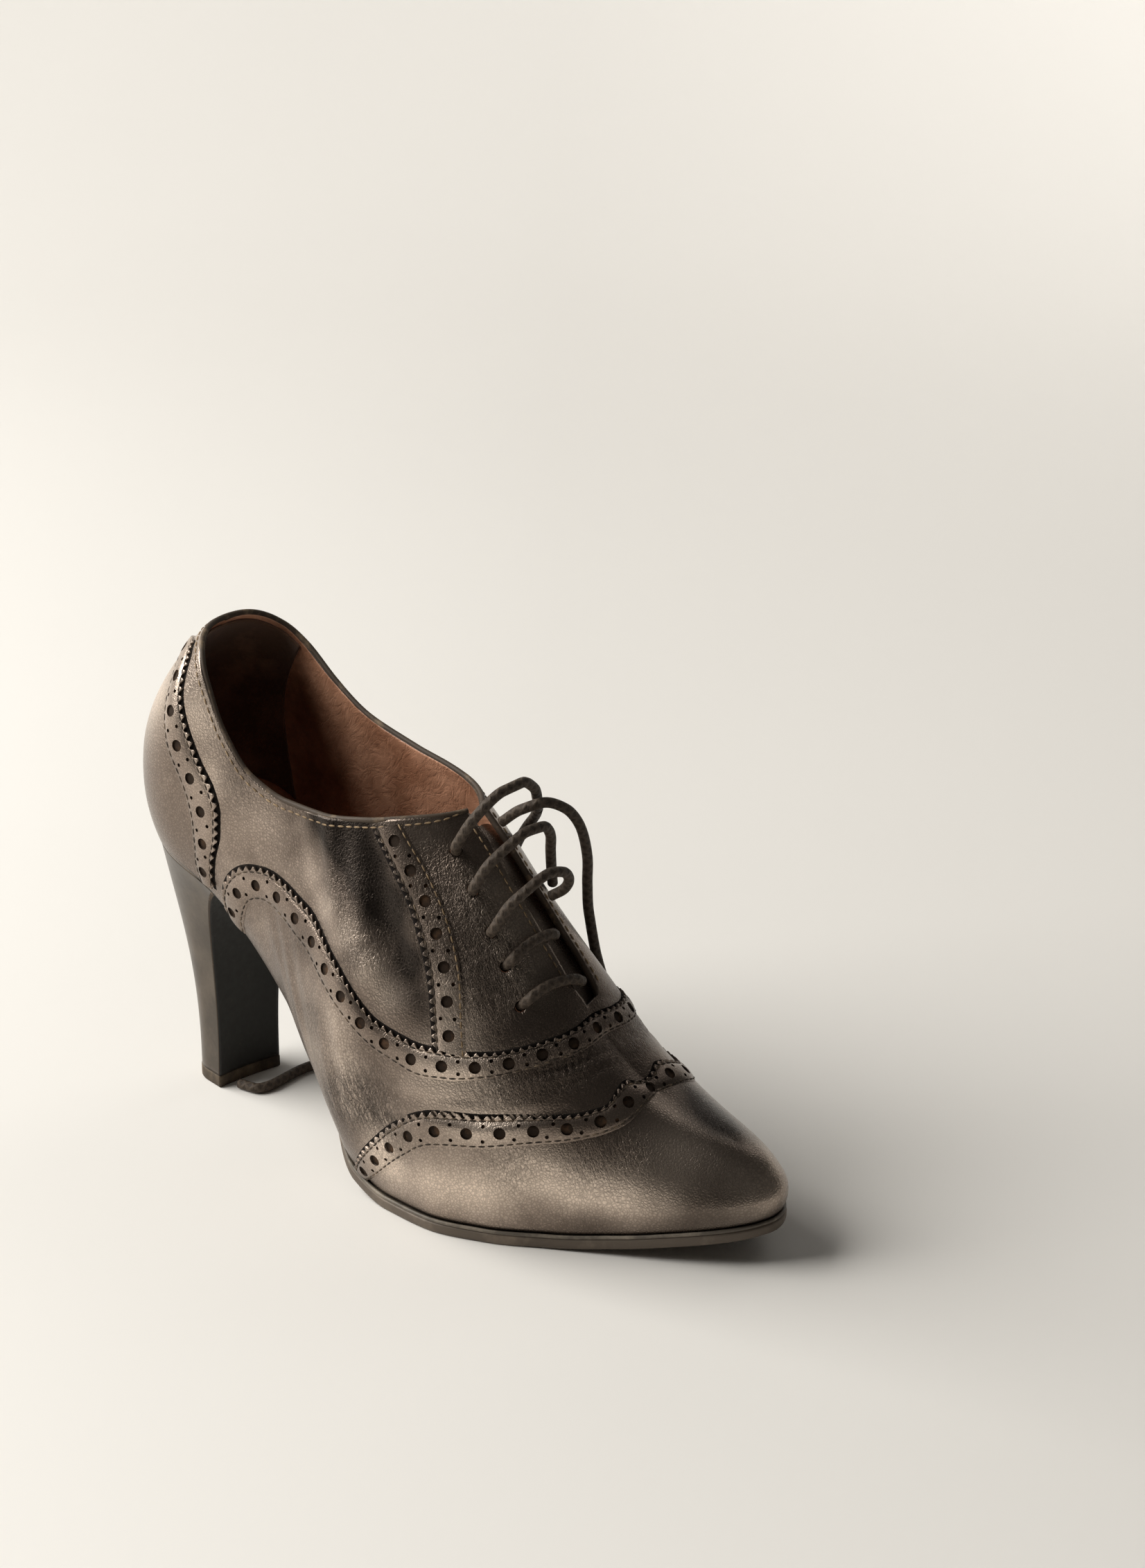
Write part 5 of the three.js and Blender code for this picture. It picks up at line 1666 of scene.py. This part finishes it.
class OXFORD_OT_inside(bpy.types.Operator):
    """Adds the tongue, the suede heel grip with its seam, and the sock's finish"""

    bl_idname = "oxford.inside"
    bl_label = "Tongue and lining"

    def execute(self, context):
        self.tongue()
        self.heel_grip()
        sock = bpy.data.objects["insole"].data
        sock.materials.clear()
        sock.materials.append(MATERIALS["sock"])
        return {"FINISHED"}

    def tongue(self):
        start, end = (place_at(share * LENGTH) for share in TONGUE_SPAN)
        shares = np.linspace(0.6, 1.5, 500)

        def place(u, v):
            at = start + (end - start) * v
            line = last_points(at[:, None], shares[None, :])
            side = THROAT_REACH * (1 - 0.12 * smooth(v, 0.0, 0.25)) * (2 * u - 1)
            target = throat_centre(line[:, 0, 0]) + side
            gap = np.abs(line[..., 1] - target[:, None])
            girth = shares[gap.argmin(1)]
            waves = 0.25 * np.sin(26 * v + 2 * u) + 0.15 * np.sin(41 * v)
            drop = 1.0 * np.cos(np.pi * (u - 0.5)) * (1 - smooth(v, 0.0, 0.12))
            return offset_points(at, girth, -(UPPER_WALL + TONGUE_GAP) + waves * 0.4 - drop)

        obj = shaped_grid("tongue_leaf", 40, 90, place, toward=away_from(110, 0, 40))
        apply_modifier(obj, "SOLIDIFY", thickness=0.0013, offset=-1.0)
        apply_modifier(obj, "BEVEL", width=0.0004, segments=2, limit_method="ANGLE")
        finish_piece(obj, "upper_leather", "skin", replaces=("tongue",))

    def heel_grip(self):
        """The patch lies on the lining from the collar's back down, with a curved front seam."""
        columns = 120
        rows = 40
        fine = np.linspace(0, 0.5, 200)
        tops = {side: top_girth(fine, side) for side in (-1, 1)}

        def place(u, v):
            at = np.abs(2 * u - 1)
            side = np.where(u <= 0.5, -1, 1)
            curve = GRIP_REACH * (1 - 0.07 * np.sin(np.pi * v))
            place = at * curve
            top = np.where(side < 0, np.interp(place, fine, tops[-1]), np.interp(place, fine, tops[1]))
            share = (GRIP_TOP - (GRIP_TOP - GRIP_BOTTOM) * v) * top
            girth = np.where(side < 0, share, 2 - share)
            return offset_points(place, girth, np.full(len(u), -(UPPER_WALL + GRIP_GAP)))

        inward = away_from(60, 0, 120)
        obj = shaped_grid("heel_grip", columns, rows, place, toward=lambda point: -inward(point))
        apply_modifier(obj, "SOLIDIFY", thickness=0.0005, offset=-1.0)
        finish_piece(obj, "upper_leather", "suede")


class OXFORD_OT_bottom(bpy.types.Operator):
    """Adds the sole with its welted edge, the covered heel with its black breast, and the top lift"""

    bl_idname = "oxford.bottom"
    bl_label = "Sole and heel"

    def execute(self, context):
        self.sole()
        self.heel()
        self.top_lift()
        return {"FINISHED"}

    def sole(self):
        """v runs from the middle of the top over the edge to the middle of the bottom."""
        start = place_at(SOLE_BACK)
        columns = 300
        profile = np.array(SOLE_PROFILE)
        rows = len(profile) - 1

        def place(u, v):
            around = u * 2 - 1
            place = start + (1 - start) * (1 - np.abs(around))
            side = np.where(around <= 0, -1, 1)
            x = travel(place)
            edge = -WAIST_TUCK + (SOLE_EDGE + WAIST_TUCK) * forepart_at(x)
            reach, level = profile[np.round(v * rows).astype(int)].T
            outer = sole_outline(place, side, edge)
            top = foot_at(outer[:, 0]) - PIECE_GAP
            base = np.maximum(0.0, top - sole_thickness(x))
            middle = np.stack([outer[:, 0], centre_at(outer[:, 0])], -1)
            step = sole_outline(place, side, edge + np.maximum(reach, -5))
            xy = np.where(reach[:, None] == MIDDLE_LINE, middle, step[:, :2])
            return np.c_[xy, base + (top - base) * level]

        obj = shaped_grid("welted_sole", columns, rows, place, closed=True)
        finish_piece(obj, "sole", "sole", "rim", replaces=("outsole",))
        mark_rim(obj)

    def heel(self):
        columns = 110
        rows = 70

        def place(u, v):
            level = LIFT_TOP + (SEAT_HEIGHT - PIECE_GAP - LIFT_TOP) * v
            ring = heel_ring(v, u)
            rise = (foot_at(ring[:, 0]) - PIECE_GAP - (SEAT_HEIGHT - PIECE_GAP)) * v**3
            return np.c_[ring, level + rise]

        obj = shaped_grid("covered_heel", columns, rows, place, closed=True)
        finish_piece(obj, "heel_cover", "heel", "breast", "edge", replaces=("heel",))
        turns = obj.data.uv_layers[0].uv
        for polygon in obj.data.polygons:
            turn = sum(turns[i].vector.x for i in polygon.loop_indices) / polygon.loop_total
            if turn > COVER_SHARE:
                polygon.material_index = 1
            elif turn > COVER_SHARE - 1 / columns:
                polygon.material_index = 2

    def top_lift(self):
        rings = np.array(LIFT_PROFILE)
        rows = len(rings) - 1

        def place(u, v):
            i = np.round(v * rows).astype(int)
            ring = heel_ring(np.zeros(len(u)), u)
            out = ring - LIFT_MIDDLE
            scale = 1 + rings[i, 0] / np.linalg.norm(out, axis=1)
            return np.c_[LIFT_MIDDLE + out * scale[:, None], rings[i, 1]]

        obj = shaped_grid("top_lift", 90, rows, place, closed=True)
        finish_piece(obj, "tip_rubber", "tip", replaces=("heel_tip",))


def mark_rim(obj):
    """Gives the sole's lip above the groove the lighter rim."""
    for polygon in obj.data.polygons:
        x = polygon.center.x * 1000 - LAST_ORIGIN[0]
        if x < SOLE_BACK:
            continue
        top = float(foot_at(x)) - PIECE_GAP
        level = 1 - (top - polygon.center.z * 1000) / float(sole_thickness(x))
        if level > 0.90:
            polygon.material_index = 1


class OXFORD_PT_panel(bpy.types.Panel):
    """Lists the shoe's sizes, colours and pieces"""

    bl_idname = "OXFORD_PT_panel"
    bl_label = "Heeled Brogue Oxford"
    bl_space_type = "VIEW_3D"
    bl_region_type = "UI"
    bl_category = "Oxford"

    def draw(self, context):
        layout = self.layout
        for group in (context.scene.oxford_sizes, context.scene.oxford_colours):
            box = layout.box()
            for key in group.bl_rna.properties.keys():
                if key not in ("rna_type", "name"):
                    box.prop(group, key)
        for operator in OPERATORS:
            layout.operator(operator.bl_idname)


OPERATORS = (
    OXFORD_OT_stage,
    OXFORD_OT_laces,
    OXFORD_OT_upper,
    OXFORD_OT_bands,
    OXFORD_OT_edges,
    OXFORD_OT_inside,
    OXFORD_OT_bottom,
)
CLASSES = (OxfordSizes, OxfordColours, *OPERATORS, OXFORD_PT_panel)


def register():
    for item in CLASSES:
        bpy.utils.register_class(item)
    bpy.types.Scene.oxford_sizes = bpy.props.PointerProperty(type=OxfordSizes)
    bpy.types.Scene.oxford_colours = bpy.props.PointerProperty(type=OxfordColours)


def unregister():
    del bpy.types.Scene.oxford_colours
    del bpy.types.Scene.oxford_sizes
    for item in reversed(CLASSES):
        bpy.utils.unregister_class(item)


def main():
    register()
    make_groups()
    make_materials()
    for operator in OPERATORS:
        group, name = operator.bl_idname.split(".")
        getattr(getattr(bpy.ops, group), name)()


if __name__ == "__main__":
    main()
